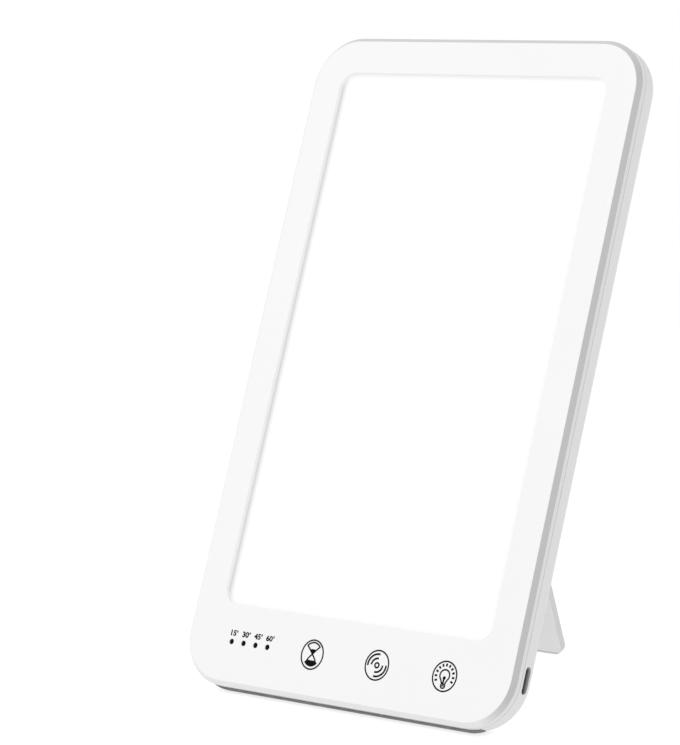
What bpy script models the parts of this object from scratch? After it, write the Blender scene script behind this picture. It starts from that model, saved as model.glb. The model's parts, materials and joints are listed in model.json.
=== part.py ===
"""Light therapy lamp: a slim edge-lit panel that leans on a fold-out rear stand.

The case is modelled upright in its own frame: x across, y from the face to the back, z up the face.
The frame then leans back, and the stand hangs from a hinge in the rear cover.
"""
import math

import bmesh
import bpy
from mathutils import Vector

MM = 0.001

# Case outline
case_width = 138 * MM
case_height = 235 * MM
corner_radius = 17.7 * MM
edge_chamfer = 1.6 * MM
wall = 1.8 * MM
back_rounding = 6 * MM
rim_depth = 3.6 * MM
parting_gap = 0.25 * MM

# Window and control strip in the face
side_margin = 12.4 * MM
top_margin = 13 * MM
control_strip = 28.2 * MM
window_radius = 6.5 * MM
window_lip = 2.2 * MM
rebate = 3 * MM
locating_rib = 1.0 * MM

# Tongue that locates the bezel inside the rear cover
tongue_thickness = 1.0 * MM
tongue_reach = 2.4 * MM

# Gap between neighbours that touch
seat = 0.25 * MM

# Layers behind the window, front to back
diffuser_thickness = 1.2 * MM
film_thickness = 0.2 * MM
guide_thickness = 2.0 * MM
reflector_thickness = 0.2 * MM
tray_thickness = 0.7 * MM
recess_wall = 1.15 * MM

# Light strips beside the light guide
guide_lap = 2.1 * MM
led_height = 1.2 * MM
led_length = 3.0 * MM
led_width = 1.6 * MM
led_pitch = 11 * MM
strip_thickness = 0.8 * MM
solder_overlap = 0.1 * MM

# Control board and what stands on it
board_thickness = 1.2 * MM
board_bottom_gap = 7.6 * MM
board_corner = 2 * MM
pad_radius = 4 * MM
pad_height = 3.4 * MM
key_row_share = 0.546
key_place_shares = (-0.0975, 0.1005, 0.3010)
timer_pitch = 5.25 * MM
timer_count = 4
pin_lens_radius = 0.9 * MM
pin_hole_gap = 0.15 * MM
lens_sink = 0.08 * MM
lens_bar_height = 3.2 * MM
lens_bar_end = 2.4 * MM
lens_bar_gap = 0.9 * MM
timer_led_height = 0.85 * MM
timer_led_size = 1.6 * MM
chip_height = 0.9 * MM
chip_size = 6 * MM
coil_size = 5 * MM
coil_height = 2.6 * MM
chip_place_share = -0.66
coil_place_share = 0.75
lead_width = 1.6 * MM
lead_thickness = 0.3 * MM
lead_lap = 4.5 * MM
lead_tab = 1.4 * MM

# USB-C receptacle in the right side wall
port_height = 18.7 * MM
port_slot_length = 9.0 * MM
port_slot_width = 2.8 * MM
shell_length = 8.94 * MM
shell_width = 3.26 * MM
shell_depth = 7.3 * MM
shell_wall = 0.3 * MM
shell_back = 0.6 * MM
blade_length = 6.7 * MM
blade_width = 0.7 * MM
blade_reach = 5.4 * MM

# Screws
screw_radius = 0.95 * MM
screw_hole_gap = 0.2 * MM
screw_head_radius = 2.0 * MM
screw_head_height = 1.5 * MM
head_rounding_share = 0.33
drive_length = 2.2 * MM
drive_width = 0.55 * MM
drive_depth = 0.8 * MM
boss_radius = 2.4 * MM
well_radius = 2.5 * MM
well_depth = 3 * MM
well_wall = 1.1 * MM
well_floor = 1.4 * MM
screw_end_gap = 1.0 * MM
case_screw_place_share = 0.652
case_screw_edge = 7.8 * MM
case_screw_top_edge = 6.2 * MM
board_screw_place_share = 0.79
board_screw_head_radius = 1.9 * MM
board_screw_head_height = 1.3 * MM
board_screw_edge = 6.5 * MM

# Rubber strip under the bottom edge
strip_corner_turn = math.radians(17)
strip_sink = 0.6 * MM
strip_proud = 0.8 * MM
strip_sole_cut = 0.3 * MM
strip_front_reach = 2.1 * MM
strip_wrap = math.radians(50)

# Stand and its hinge
lean = math.radians(25)
opening = math.radians(42)
hinge_height = 127 * MM
stand_width = 53 * MM
stand_thickness = 3.0 * MM
stand_corner = 3.5 * MM
stand_edge = 0.4 * MM
stand_shoulder = 0.5 * MM
pin_radius = 0.85 * MM
barrel_wall = 0.7 * MM
washer_thickness = 0.4 * MM
pin_seat_length = 3.2 * MM
hinge_block_radius = 3.2 * MM
recess_gap = 0.5 * MM
recess_corner = 4 * MM
recess_top_corner = 0.8 * MM
notch_radius = 9 * MM
notch_height = 34 * MM
sole_width = 1.4 * MM
sole_sink = 1.4 * MM
sole_proud = 0.5 * MM
sole_end_gap = 5 * MM

# Overrun of cuts, and overlap of shapes that are joined
overrun = 1 * MM
bite = 0.4 * MM

# Facets
corner_steps = 10
back_steps = 6
small_steps = 6
circle_steps = 24
sharp_angle = math.radians(32)

# Sizes that follow
window_width = case_width - 2 * side_margin
window_height = case_height - top_margin - control_strip
face_thickness = wall
tongue_inset = wall + parting_gap
tongue_end = rim_depth + tongue_reach

diffuser_front = window_lip + seat
diffuser_back = diffuser_front + diffuser_thickness
film_front = diffuser_back + seat
film_back = film_front + film_thickness
guide_front = film_back + seat
guide_back = guide_front + guide_thickness
reflector_front = guide_back + seat
reflector_back = reflector_front + reflector_thickness
tray_front = reflector_back + seat
tray_back = tray_front + tray_thickness
recess_wall_front = tray_back + seat
recess_floor = recess_wall_front + recess_wall

bore_radius = pin_radius + seat
barrel_radius = bore_radius + barrel_wall
hinge_depth = recess_floor + seat + barrel_radius
case_depth = hinge_depth + barrel_radius
rim_front = rim_depth + parting_gap
back_inside = case_depth - wall

guide_half = window_width / 2 + guide_lap
led_face = guide_half + seat
led_root = led_face + led_height
strip_back = led_root + strip_thickness
flange_inside = strip_back + seat
flange_outside = flange_inside + tray_thickness
stack_low = control_strip - rebate
stack_high = control_strip + window_height + rebate

board_front = face_thickness + seat + pad_height + seat
board_back = board_front + board_thickness
board_middle = (board_front + board_back) / 2
key_row = control_strip * key_row_share
board_low = tongue_inset + tongue_thickness + board_bottom_gap
board_high = stack_low - 2 * seat
port_inside = case_width / 2 - wall - seat
board_half = port_inside - shell_depth - seat

hinge_rise = hinge_height * math.cos(lean) - hinge_depth * math.sin(lean)
foot_centre_depth = case_depth - back_rounding
strip_radius = back_rounding + strip_proud
sole_distance = strip_radius - strip_sole_cut
foot_rise = sole_distance + foot_centre_depth * math.sin(lean) - back_rounding * math.cos(lean)
stand_tilt = opening - lean
stand_reach = (hinge_rise + foot_rise) / math.cos(stand_tilt)
plate_reach = stand_reach - sole_proud
barrel_half = stand_width / 2 - washer_thickness
recess_half = barrel_half + washer_thickness + 2 * seat
heel_reach = barrel_radius / math.sin(opening)
heel_corner = math.hypot(heel_reach, stand_thickness / 2)
sole_slope = math.tan(stand_tilt)
sole_tip = stand_reach + sole_width / 2 * sole_slope
recess_low = hinge_height - sole_tip - recess_gap
recess_high = hinge_height + heel_corner + recess_gap

front_reach = edge_chamfer * math.sin(lean)
back_reach = (
    foot_centre_depth * math.cos(lean)
    + (case_height - back_rounding) * math.sin(lean)
    + back_rounding
)


def clear_scene():
    for item in list(bpy.data.objects):
        bpy.data.objects.remove(item)


def finish(name, colour, roughness, metallic=0.0, alpha=1.0):
    material = bpy.data.materials.new(name)
    material.use_nodes = True
    shader = material.node_tree.nodes["Principled BSDF"]
    shader.inputs["Base Color"].default_value = (*colour, 1.0)
    shader.inputs["Roughness"].default_value = roughness
    shader.inputs["Metallic"].default_value = metallic
    shader.inputs["Alpha"].default_value = alpha
    material.diffuse_color = (*colour, alpha)
    return material


def frame_empty(name, location, turn, parent=None):
    empty = bpy.data.objects.new(name, None)
    empty.location = location
    empty.rotation_euler = (turn, 0, 0)
    empty.parent = parent
    bpy.context.scene.collection.objects.link(empty)
    return empty


def rounded(x_low, x_high, z_low, z_high, low_radius, high_radius, steps=corner_steps):
    """A rectangle with round corners, as (x, z) points that run round it from its lower right."""
    corners = (
        (x_high - low_radius, z_low + low_radius, low_radius, -math.pi / 2),
        (x_high - high_radius, z_high - high_radius, high_radius, 0),
        (x_low + high_radius, z_high - high_radius, high_radius, math.pi / 2),
        (x_low + low_radius, z_low + low_radius, low_radius, math.pi),
    )
    points = []
    for x, z, radius, start in corners:
        for step in range(steps + 1):
            angle = start + math.pi / 2 * step / steps
            points.append((x + radius * math.cos(angle), z + radius * math.sin(angle)))
    return points


def case_outline(inset):
    half = case_width / 2 - inset
    radius = corner_radius - inset
    return rounded(-half, half, inset, case_height - inset, radius, radius)


def window_outline(grow):
    half = window_width / 2 + grow
    low = control_strip - grow
    high = control_strip + window_height + grow
    radius = window_radius + grow
    return rounded(-half, half, low, high, radius, radius)


def at_depth(outline, depth):
    return [Vector((x, depth, z)) for x, z in outline]


def slot_outline(length, width, steps=small_steps):
    """A slot with round ends, as (y, z) points about zero, long in z."""
    return rounded(-width / 2, width / 2, -length / 2, length / 2, width / 2, width / 2, steps)


def across(points, x, depth=0, height=0):
    return [Vector((x, depth + y, height + z)) for y, z in points]


def loft(form, rings, closed=False):
    """Joins rings of equal length with faces, and caps the first and the last unless closed."""
    rows = [[form.verts.new(point) for point in ring] for ring in rings]
    pairs = list(zip(rows, rows[1:]))
    if closed:
        pairs.append((rows[-1], rows[0]))
    else:
        form.faces.new(rows[0])
        form.faces.new(rows[-1])
    for near, far in pairs:
        for i in range(len(near)):
            j = (i + 1) % len(near)
            form.faces.new((near[i], near[j], far[j], far[i]))


def block(form, low, high):
    ring = [(low[0], low[2]), (high[0], low[2]), (high[0], high[2]), (low[0], high[2])]
    loft(form, [at_depth(ring, low[1]), at_depth(ring, high[1])])


def turned(form, centre, axis, profile, closed=False, steps=circle_steps):
    """Turns (radius, distance) points about an axis through the centre."""
    axis = Vector(axis)
    side = axis.orthogonal().normalized()
    other = axis.cross(side)
    rings = []
    for radius, distance in profile:
        ring = []
        for step in range(steps):
            angle = 2 * math.pi * step / steps
            spoke = side * math.cos(angle) + other * math.sin(angle)
            ring.append(Vector(centre) + axis * distance + spoke * radius)
        rings.append(ring)
    loft(form, rings, closed)


def solid(name, form, material, parent):
    bmesh.ops.recalc_face_normals(form, faces=form.faces)
    mesh = bpy.data.meshes.new(name)
    form.to_mesh(mesh)
    form.free()
    mesh.shade_smooth()
    mesh.set_sharp_from_angle(angle=sharp_angle)
    if material:
        mesh.materials.append(material)
    item = bpy.data.objects.new(name, mesh)
    item.parent = parent
    bpy.context.scene.collection.objects.link(item)
    return item


def combine(item, name, form, operation):
    """Joins the form to the item, or cuts it out, with a Boolean that stays on the item."""
    tool = solid(name, form, None, item.parent)
    tool.hide_render = True
    tool.display_type = "WIRE"
    modifier = item.modifiers.new(name, "BOOLEAN")
    modifier.operation = operation
    modifier.solver = "EXACT"
    modifier.object = tool


def screw_places():
    """Places of the case screws as (x, z)."""
    side = case_width / 2 * case_screw_place_share
    heights = (case_screw_edge, case_height - case_screw_top_edge)
    return [(sign * side, height) for height in heights for sign in (-1, 1)]


def board_screw_places():
    side = case_width / 2 * board_screw_place_share
    return [(sign * side, board_low + board_screw_edge) for sign in (-1, 1)]


def timer_places():
    """The light pipe starts beside the boss of the left board screw."""
    boss_edge = board_screw_places()[0][0] + boss_radius
    first = boss_edge + lens_bar_gap + lens_bar_end
    return [first + timer_pitch * i for i in range(timer_count)]


def key_places():
    return [case_width * share for share in key_place_shares]


def well_floor_depth():
    return case_depth - well_depth


def front_bezel(material, parent):
    shell = bmesh.new()
    inner = tongue_inset + tongue_thickness
    loft(
        shell,
        [
            at_depth(case_outline(edge_chamfer), 0),
            at_depth(case_outline(0), edge_chamfer),
            at_depth(case_outline(0), rim_depth),
            at_depth(case_outline(tongue_inset), rim_depth),
            at_depth(case_outline(tongue_inset), tongue_end),
            at_depth(case_outline(inner), tongue_end),
            at_depth(case_outline(inner), face_thickness),
            at_depth(window_outline(rebate + locating_rib), face_thickness),
            at_depth(window_outline(rebate + locating_rib), diffuser_back),
            at_depth(window_outline(rebate), diffuser_back),
            at_depth(window_outline(rebate), window_lip),
            at_depth(window_outline(0), window_lip),
            at_depth(window_outline(0), 0),
        ],
        closed=True,
    )
    bezel = solid("front_bezel", shell, material, parent)

    bosses = bmesh.new()
    hole = screw_radius + screw_hole_gap
    root = face_thickness - bite
    top = well_floor_depth() - well_floor - seat
    for x, z in screw_places():
        profile = [(boss_radius, root), (boss_radius, top), (hole, top), (hole, face_thickness)]
        turned(bosses, (x, 0, z), (0, 1, 0), profile)
    top = board_front - seat
    for x, z in board_screw_places():
        profile = [(boss_radius, root), (boss_radius, top), (hole, top), (hole, face_thickness)]
        turned(bosses, (x, 0, z), (0, 1, 0), profile)
    combine(bezel, "bezel_bosses", bosses, "UNION")

    cuts = bmesh.new()
    for x in timer_places():
        hole = pin_lens_radius + pin_hole_gap
        profile = [(hole, -overrun), (hole, face_thickness + overrun)]
        turned(cuts, (x, 0, key_row), (0, 1, 0), profile)
    reach = shell_length / 2 + seat
    block(
        cuts,
        (case_width / 2 - inner - overrun, board_middle - shell_width / 2 - seat, port_height - reach),
        (case_width / 2 - tongue_inset + seat, tongue_end + overrun, port_height + reach),
    )
    combine(bezel, "bezel_cuts", cuts, "DIFFERENCE")
    return bezel


def back_rings(inset, front, rounding):
    """Rings of a shell with a rounded back edge, from its open front to its back face."""
    rings = [at_depth(case_outline(inset), front)]
    centre = case_depth - back_rounding
    for step in range(back_steps + 1):
        angle = math.pi / 2 * step / back_steps
        shift = inset + rounding * (1 - math.cos(angle))
        rings.append(at_depth(case_outline(shift), centre + rounding * math.sin(angle)))
    return rings


def foot_profile(sink, proud, ends, sole_cut=0.0):
    """The rubber strip's section as (y, z): straight under the side wall, then round the back edge."""
    centre_y = foot_centre_depth
    centre_z = back_rounding
    front = centre_y - strip_front_reach - ends
    outer = back_rounding + proud
    inner = back_rounding - sink
    wrap = strip_wrap + ends / back_rounding
    flat = math.acos((outer - sole_cut) / outer)
    angles = [wrap * step / small_steps for step in range(small_steps + 1)]
    if sole_cut:
        angles = [angle for angle in angles if abs(angle - lean) > flat] + [lean - flat, lean + flat]
    points = [(front, centre_z - outer)]
    for angle in sorted(angles):
        points.append((centre_y + outer * math.sin(angle), centre_z - outer * math.cos(angle)))
    for step in range(small_steps + 1):
        angle = wrap * (small_steps - step) / small_steps
        points.append((centre_y + inner * math.sin(angle), centre_z - inner * math.cos(angle)))
    points.append((front, centre_z - inner))
    return points


def foot_rings(profile, turn):
    """The strip's section along the bottom edge, with each end turned up round the corner."""
    centre = case_width / 2 - corner_radius
    places = [(-1, turn * step / small_steps) for step in range(small_steps, -1, -1)]
    places += [(1, turn * step / small_steps) for step in range(small_steps + 1)]
    rings = []
    for side, angle in places:
        ring = []
        for y, z in profile:
            reach = corner_radius - z
            x = side * (centre + reach * math.sin(angle))
            ring.append(Vector((x, y, corner_radius - reach * math.cos(angle))))
        rings.append(ring)
    return rings


def rear_cover(material, parent):
    shell = bmesh.new()
    outside = back_rings(0, rim_front, back_rounding)
    inside = back_rings(wall, rim_front, back_rounding - wall)
    loft(shell, list(reversed(inside)) + outside)
    cover = solid("rear_cover", shell, material, parent)

    half = recess_half + recess_wall
    corner = recess_corner + recess_wall
    outline = rounded(
        -half, half, recess_low - recess_wall, recess_high + recess_wall, corner, recess_wall, small_steps
    )
    pocket = bmesh.new()
    loft(pocket, [at_depth(outline, recess_wall_front), at_depth(outline, back_inside + bite)])
    combine(cover, "recess_walls", pocket, "UNION")

    notches = bmesh.new()
    for sign in (-1, 1):
        radius = notch_radius + recess_wall
        profile = [(radius, recess_wall_front), (radius, back_inside + bite)]
        turned(notches, (sign * recess_half, 0, notch_height), (0, 1, 0), profile)
    combine(cover, "notch_walls", notches, "UNION")

    posts = bmesh.new()
    for x, z in screw_places():
        radius = well_radius + well_wall
        profile = [(radius, well_floor_depth() - well_floor), (radius, back_inside + bite)]
        turned(posts, (x, 0, z), (0, 1, 0), profile)
    for sign in (-1, 1):
        near = sign * (recess_half + bite)
        far = sign * (recess_half + pin_seat_length + recess_wall)
        block(
            posts,
            (min(near, far), recess_wall_front + bite, hinge_height - hinge_block_radius),
            (max(near, far), back_inside + bite, hinge_height + hinge_block_radius),
        )
    combine(cover, "posts", posts, "UNION")

    cuts = bmesh.new()
    outline = rounded(
        -recess_half, recess_half, recess_low, recess_high, recess_corner, recess_top_corner, small_steps
    )
    loft(cuts, [at_depth(outline, recess_floor), at_depth(outline, case_depth + overrun)])
    for x, z in screw_places():
        hole = screw_radius + screw_hole_gap
        floor = well_floor_depth()
        start = floor - well_floor - overrun
        profile = [(hole, start), (hole, floor), (well_radius, floor), (well_radius, case_depth + overrun)]
        turned(cuts, (x, 0, z), (0, 1, 0), profile)
    groove = foot_profile(strip_sink + seat, overrun, seat)
    loft(cuts, foot_rings(groove, strip_corner_turn + seat / corner_radius))
    mouth = slot_outline(port_slot_length, port_slot_width)
    near = case_width / 2 - wall - overrun
    far = case_width / 2 + overrun
    loft(cuts, [across(mouth, x, board_middle, port_height) for x in (near, far)])
    combine(cover, "cover_cuts", cuts, "DIFFERENCE")

    grips = bmesh.new()
    for sign in (-1, 1):
        profile = [(notch_radius, recess_floor + seat), (notch_radius, case_depth + overrun)]
        turned(grips, (sign * recess_half, 0, notch_height), (0, 1, 0), profile)
    reach = recess_half + pin_seat_length
    profile = [(bore_radius, -reach), (bore_radius, reach)]
    turned(grips, (0, hinge_depth, hinge_height), (1, 0, 0), profile)
    pocket = slot_outline(shell_length + 2 * seat, shell_width + 2 * seat)
    far = port_inside + 2 * seat
    loft(grips, [across(pocket, x, board_middle, port_height) for x in (near, far)])
    combine(cover, "grip_and_pin_cuts", grips, "DIFFERENCE")
    return cover


def sheet(name, grow, front, back, material, parent):
    """A flat layer behind the window."""
    form = bmesh.new()
    loft(form, [at_depth(window_outline(grow), front), at_depth(window_outline(grow), back)])
    return solid(name, form, material, parent)


def square_sheet(name, half, front, back, material, parent):
    form = bmesh.new()
    block(form, (-half, front, stack_low + seat), (half, back, stack_high - seat))
    return solid(name, form, material, parent)


def heat_spreader_tray(material, parent):
    outline = [
        (-flange_outside, diffuser_back),
        (-flange_inside, diffuser_back),
        (-flange_inside, tray_front),
        (flange_inside, tray_front),
        (flange_inside, diffuser_back),
        (flange_outside, diffuser_back),
        (flange_outside, tray_back),
        (-flange_outside, tray_back),
    ]
    form = bmesh.new()
    ends = (stack_low, stack_high)
    loft(form, [[Vector((x, y, z)) for x, y in outline] for z in ends])
    return solid("heat_spreader_tray", form, material, parent)


def led_strip(name, sign, material, parent):
    low = stack_low + seat
    high = stack_high - seat
    form = bmesh.new()
    faces = sorted((sign * led_root, sign * strip_back))
    block(form, (faces[0], guide_front, low), (faces[1], reflector_back, high))
    strip = solid(name, form, material, parent)
    leds = bmesh.new()
    count = int((high - low) / led_pitch)
    middle = (guide_front + guide_back) / 2
    first = (low + high - led_pitch * (count - 1)) / 2
    faces = sorted((sign * led_face, sign * (led_root + solder_overlap)))
    for i in range(count):
        z = first + led_pitch * i
        block(
            leds,
            (faces[0], middle - led_width / 2, z - led_length / 2),
            (faces[1], middle + led_width / 2, z + led_length / 2),
        )
    combine(strip, name + "_leds", leds, "UNION")
    return strip


def led_lead(name, sign, material, parent):
    """The flat lead from the front of the control board out to a light strip's lower end."""
    back = board_front - seat
    leg_outer = board_half - seat
    leg_inner = leg_outer - lead_width
    low = board_high - lead_lap
    step = stack_low - lead_tab
    outline = [
        (leg_inner, low),
        (leg_outer, low),
        (leg_outer, step),
        (strip_back, step),
        (strip_back, stack_low),
        (leg_inner, stack_low),
    ]
    outline = [(sign * x, z) for x, z in outline]
    form = bmesh.new()
    loft(form, [at_depth(outline, back - lead_thickness), at_depth(outline, back)])
    return solid(name, form, material, parent)


def control_board(material, parent):
    outline = rounded(
        -board_half, board_half, board_low, board_high, board_corner, board_corner, small_steps
    )
    form = bmesh.new()
    loft(form, [at_depth(outline, board_front), at_depth(outline, board_back)])
    board = solid("control_board", form, material, parent)

    parts = bmesh.new()
    half = timer_led_size / 2
    for x in timer_places():
        block(
            parts,
            (x - half, board_front - timer_led_height, key_row - half),
            (x + half, board_front + solder_overlap, key_row + half),
        )
    row = (board_low + board_high) / 2
    for share, size, height in (
        (chip_place_share, chip_size, chip_height),
        (coil_place_share, coil_size, coil_height),
    ):
        x = board_half * share
        block(
            parts,
            (x - size / 2, board_back - solder_overlap, row - size / 2),
            (x + size / 2, board_back + height, row + size / 2),
        )
    combine(board, "board_parts", parts, "UNION")

    holes = bmesh.new()
    hole = screw_radius + screw_hole_gap
    for x, z in board_screw_places():
        profile = [(hole, board_front - overrun), (hole, board_back + overrun)]
        turned(holes, (x, 0, z), (0, 1, 0), profile)
    combine(board, "board_holes", holes, "DIFFERENCE")
    return board


def touch_pad(name, x, material, parent):
    form = bmesh.new()
    front = face_thickness + seat
    profile = [(pad_radius, front), (pad_radius, front + pad_height)]
    turned(form, (x, 0, key_row), (0, 1, 0), profile)
    return solid(name, form, material, parent)


def timer_light_pipe(material, parent):
    places = timer_places()
    front = face_thickness + seat
    back = board_front - timer_led_height - seat
    form = bmesh.new()
    block(
        form,
        (places[0] - lens_bar_end, front, key_row - lens_bar_height / 2),
        (places[-1] + lens_bar_end, back, key_row + lens_bar_height / 2),
    )
    pipe = solid("timer_light_pipe", form, material, parent)
    pins = bmesh.new()
    for x in places:
        profile = [(pin_lens_radius, lens_sink), (pin_lens_radius, front + bite)]
        turned(pins, (x, 0, key_row), (0, 1, 0), profile)
    combine(pipe, "light_pipe_pins", pins, "UNION")
    return pipe


def usb_c_shell(material, parent):
    outer = slot_outline(shell_length, shell_width)
    inner = slot_outline(shell_length - 2 * shell_wall, shell_width - 2 * shell_wall)
    back = port_inside - shell_depth
    form = bmesh.new()
    rings = [
        across(inner, back + shell_back, board_middle, port_height),
        across(inner, port_inside, board_middle, port_height),
        across(outer, port_inside, board_middle, port_height),
        across(outer, back, board_middle, port_height),
    ]
    loft(form, rings)
    return solid("usb_c_shell", form, material, parent)


def usb_c_tongue(material, parent):
    back = port_inside - shell_depth + shell_back + seat
    form = bmesh.new()
    block(
        form,
        (back, board_middle - blade_width / 2, port_height - blade_length / 2),
        (back + blade_reach, board_middle + blade_width / 2, port_height + blade_length / 2),
    )
    return solid("usb_c_tongue", form, material, parent)


def screw(name, place, seat_depth, head_radius, head_height, material, parent):
    """A pan-head screw with a cross recess, its head towards the back."""
    x, z = place
    top = seat_depth + head_height
    rounding = head_height * head_rounding_share
    tip = face_thickness + screw_end_gap
    profile = [
        (screw_radius, tip),
        (screw_radius, seat_depth),
        (head_radius, seat_depth),
        (head_radius, top - rounding),
        (head_radius - rounding, top),
    ]
    form = bmesh.new()
    turned(form, (x, 0, z), (0, 1, 0), profile)
    item = solid(name, form, material, parent)
    for turn, (half_x, half_z) in enumerate(
        ((drive_length / 2, drive_width / 2), (drive_width / 2, drive_length / 2))
    ):
        slot = bmesh.new()
        block(slot, (x - half_x, top - drive_depth, z - half_z), (x + half_x, top + overrun, z + half_z))
        combine(item, name + "_drive_" + str(turn), slot, "DIFFERENCE")
    return item


def foot_strip(material, parent):
    profile = foot_profile(strip_sink, strip_proud, 0, strip_sole_cut)
    form = bmesh.new()
    loft(form, foot_rings(profile, strip_corner_turn))
    return solid("foot_strip", form, material, parent)


def hinge_pin(material, parent):
    reach = recess_half + pin_seat_length - seat
    form = bmesh.new()
    turned(
        form, (0, hinge_depth, hinge_height), (1, 0, 0), [(pin_radius, -reach), (pin_radius, reach)]
    )
    return solid("hinge_pin", form, material, parent)


def hinge_washer(name, sign, material, parent):
    near = sign * (barrel_half + seat)
    far = sign * (barrel_half + seat + washer_thickness)
    outer = barrel_radius - seat
    profile = [(bore_radius, near), (outer, near), (outer, far), (bore_radius, far)]
    form = bmesh.new()
    turned(form, (0, hinge_depth, hinge_height), (1, 0, 0), profile, closed=True)
    return solid(name, form, material, parent)


def sole_profile(width, sink, slope):
    """The rubber sole's section as (y, z) in the stand's frame, its tip level with the floor."""
    half = width / 2
    if slope:
        tips = [(-half, -stand_reach + half * sole_slope), (half, -stand_reach - half * sole_slope)]
    else:
        tips = [(-half, -stand_reach - overrun), (half, -stand_reach - overrun)]
    return tips + [(half, -plate_reach + sink), (-half, -plate_reach + sink)]


def stand_plate(material, parent):
    half = stand_width / 2
    thick = stand_thickness / 2
    top = -barrel_radius - stand_shoulder
    form = bmesh.new()
    rings = []
    for depth, inset in (
        (-thick, stand_edge),
        (-thick + stand_edge, 0),
        (thick - stand_edge, 0),
        (thick, stand_edge),
    ):
        outline = rounded(
            -half + inset, half - inset, -plate_reach + inset, top - inset,
            stand_corner - inset, stand_shoulder, small_steps,
        )
        rings.append(at_depth(outline, depth))
    loft(form, rings)
    plate = solid("stand_plate", form, material, parent)

    neck = bmesh.new()
    width = barrel_half - bite
    block(neck, (-width, -thick + stand_edge, top - stand_corner), (width, thick - stand_edge, 0))
    combine(plate, "stand_neck", neck, "UNION")

    barrel = bmesh.new()
    turned(barrel, (0, 0, 0), (1, 0, 0), [(barrel_radius, -barrel_half), (barrel_radius, barrel_half)])
    combine(plate, "stand_barrel", barrel, "UNION")

    heel = bmesh.new()
    block(heel, (-barrel_half + bite, 0, 0), (barrel_half - bite, thick, heel_reach))
    combine(plate, "stand_heel", heel, "UNION")

    cuts = bmesh.new()
    turned(cuts, (0, 0, 0), (1, 0, 0), [(bore_radius, -half - overrun), (bore_radius, half + overrun)])
    groove = sole_profile(sole_width + 2 * seat, sole_sink + seat, False)
    reach = half - sole_end_gap + seat
    loft(cuts, [across(groove, -reach), across(groove, reach)])
    combine(plate, "stand_cuts", cuts, "DIFFERENCE")
    return plate


def stand_foot_pad(material, parent):
    reach = stand_width / 2 - sole_end_gap
    profile = sole_profile(sole_width, sole_sink, True)
    form = bmesh.new()
    loft(form, [across(profile, -reach), across(profile, reach)])
    return solid("stand_foot_pad", form, material, parent)


def build():
    clear_scene()
    white = finish("white_gloss", (0.90, 0.90, 0.91), 0.25)
    white_back = finish("white_satin", (0.84, 0.84, 0.85), 0.4)
    opal = finish("opal_acrylic", (0.97, 0.97, 0.97), 0.3)
    film = finish("film", (0.92, 0.93, 0.94), 0.35)
    clear = finish("clear_acrylic", (0.85, 0.9, 0.92), 0.08, alpha=0.4)
    aluminium = finish("aluminium", (0.72, 0.73, 0.74), 0.35, metallic=1.0)
    circuit = finish("circuit_board", (0.9, 0.9, 0.88), 0.5)
    foam = finish("conductive_foam", (0.35, 0.35, 0.36), 0.9)
    smoke = finish("smoked_lens", (0.02, 0.02, 0.02), 0.2)
    steel = finish("steel", (0.6, 0.6, 0.62), 0.25, metallic=1.0)
    black = finish("black_plastic", (0.03, 0.03, 0.03), 0.5)
    rubber = finish("grey_rubber", (0.2, 0.2, 0.21), 0.85)
    pale_rubber = finish("pale_rubber", (0.6, 0.6, 0.61), 0.8)
    nylon = finish("nylon", (0.8, 0.79, 0.75), 0.5)
    copper = finish("lead", (0.75, 0.45, 0.2), 0.5)

    middle = (front_reach + back_reach) / 2
    case = frame_empty("case_frame", (0, -middle, foot_rise), -lean)
    stand = frame_empty("stand_frame", (0, hinge_depth, hinge_height), opening, case)

    front_bezel(white, case)
    rear_cover(white_back, case)
    sheet("diffuser_panel", rebate - seat, diffuser_front, diffuser_back, opal, case)
    sheet("diffuser_film", guide_lap, film_front, film_back, film, case)
    square_sheet("light_guide_plate", guide_half, guide_front, guide_back, clear, case)
    square_sheet("reflector_sheet", guide_half, reflector_front, reflector_back, film, case)
    heat_spreader_tray(aluminium, case)
    for side, sign in (("left", -1), ("right", 1)):
        led_strip("led_strip_" + side, sign, circuit, case)
        led_lead("led_lead_" + side, sign, copper, case)
        hinge_washer("hinge_washer_" + side, sign, nylon, case)
    control_board(circuit, case)
    for name, x in zip(("timer", "program", "brightness"), key_places()):
        touch_pad("touch_pad_" + name, x, foam, case)
    timer_light_pipe(smoke, case)
    usb_c_shell(steel, case)
    usb_c_tongue(black, case)
    corners = ("bottom_left", "bottom_right", "top_left", "top_right")
    for corner, place in zip(corners, screw_places()):
        screw(
            "case_screw_" + corner, place, well_floor_depth() + seat,
            screw_head_radius, screw_head_height, steel, case,
        )
    for side, place in zip(("left", "right"), board_screw_places()):
        screw(
            "board_screw_" + side, place, board_back + seat,
            board_screw_head_radius, board_screw_head_height, steel, case,
        )
    foot_strip(rubber, case)
    hinge_pin(steel, case)
    stand_plate(white_back, stand)
    stand_foot_pad(pale_rubber, stand)


build()
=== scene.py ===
"""Light therapy lamp: its finish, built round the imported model.

The file is laid out as an add-on and is run as a script. Each operator dresses one piece, or one
group of like pieces, and main() calls them in order. The case is built upright in its own axes: x
across, y from the face to the back, z up the face. The stand is built about its hinge.
"""
import json
import math

import bmesh
import bpy
from bpy.props import FloatProperty, FloatVectorProperty, PointerProperty
from mathutils import Matrix, Vector


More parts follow.
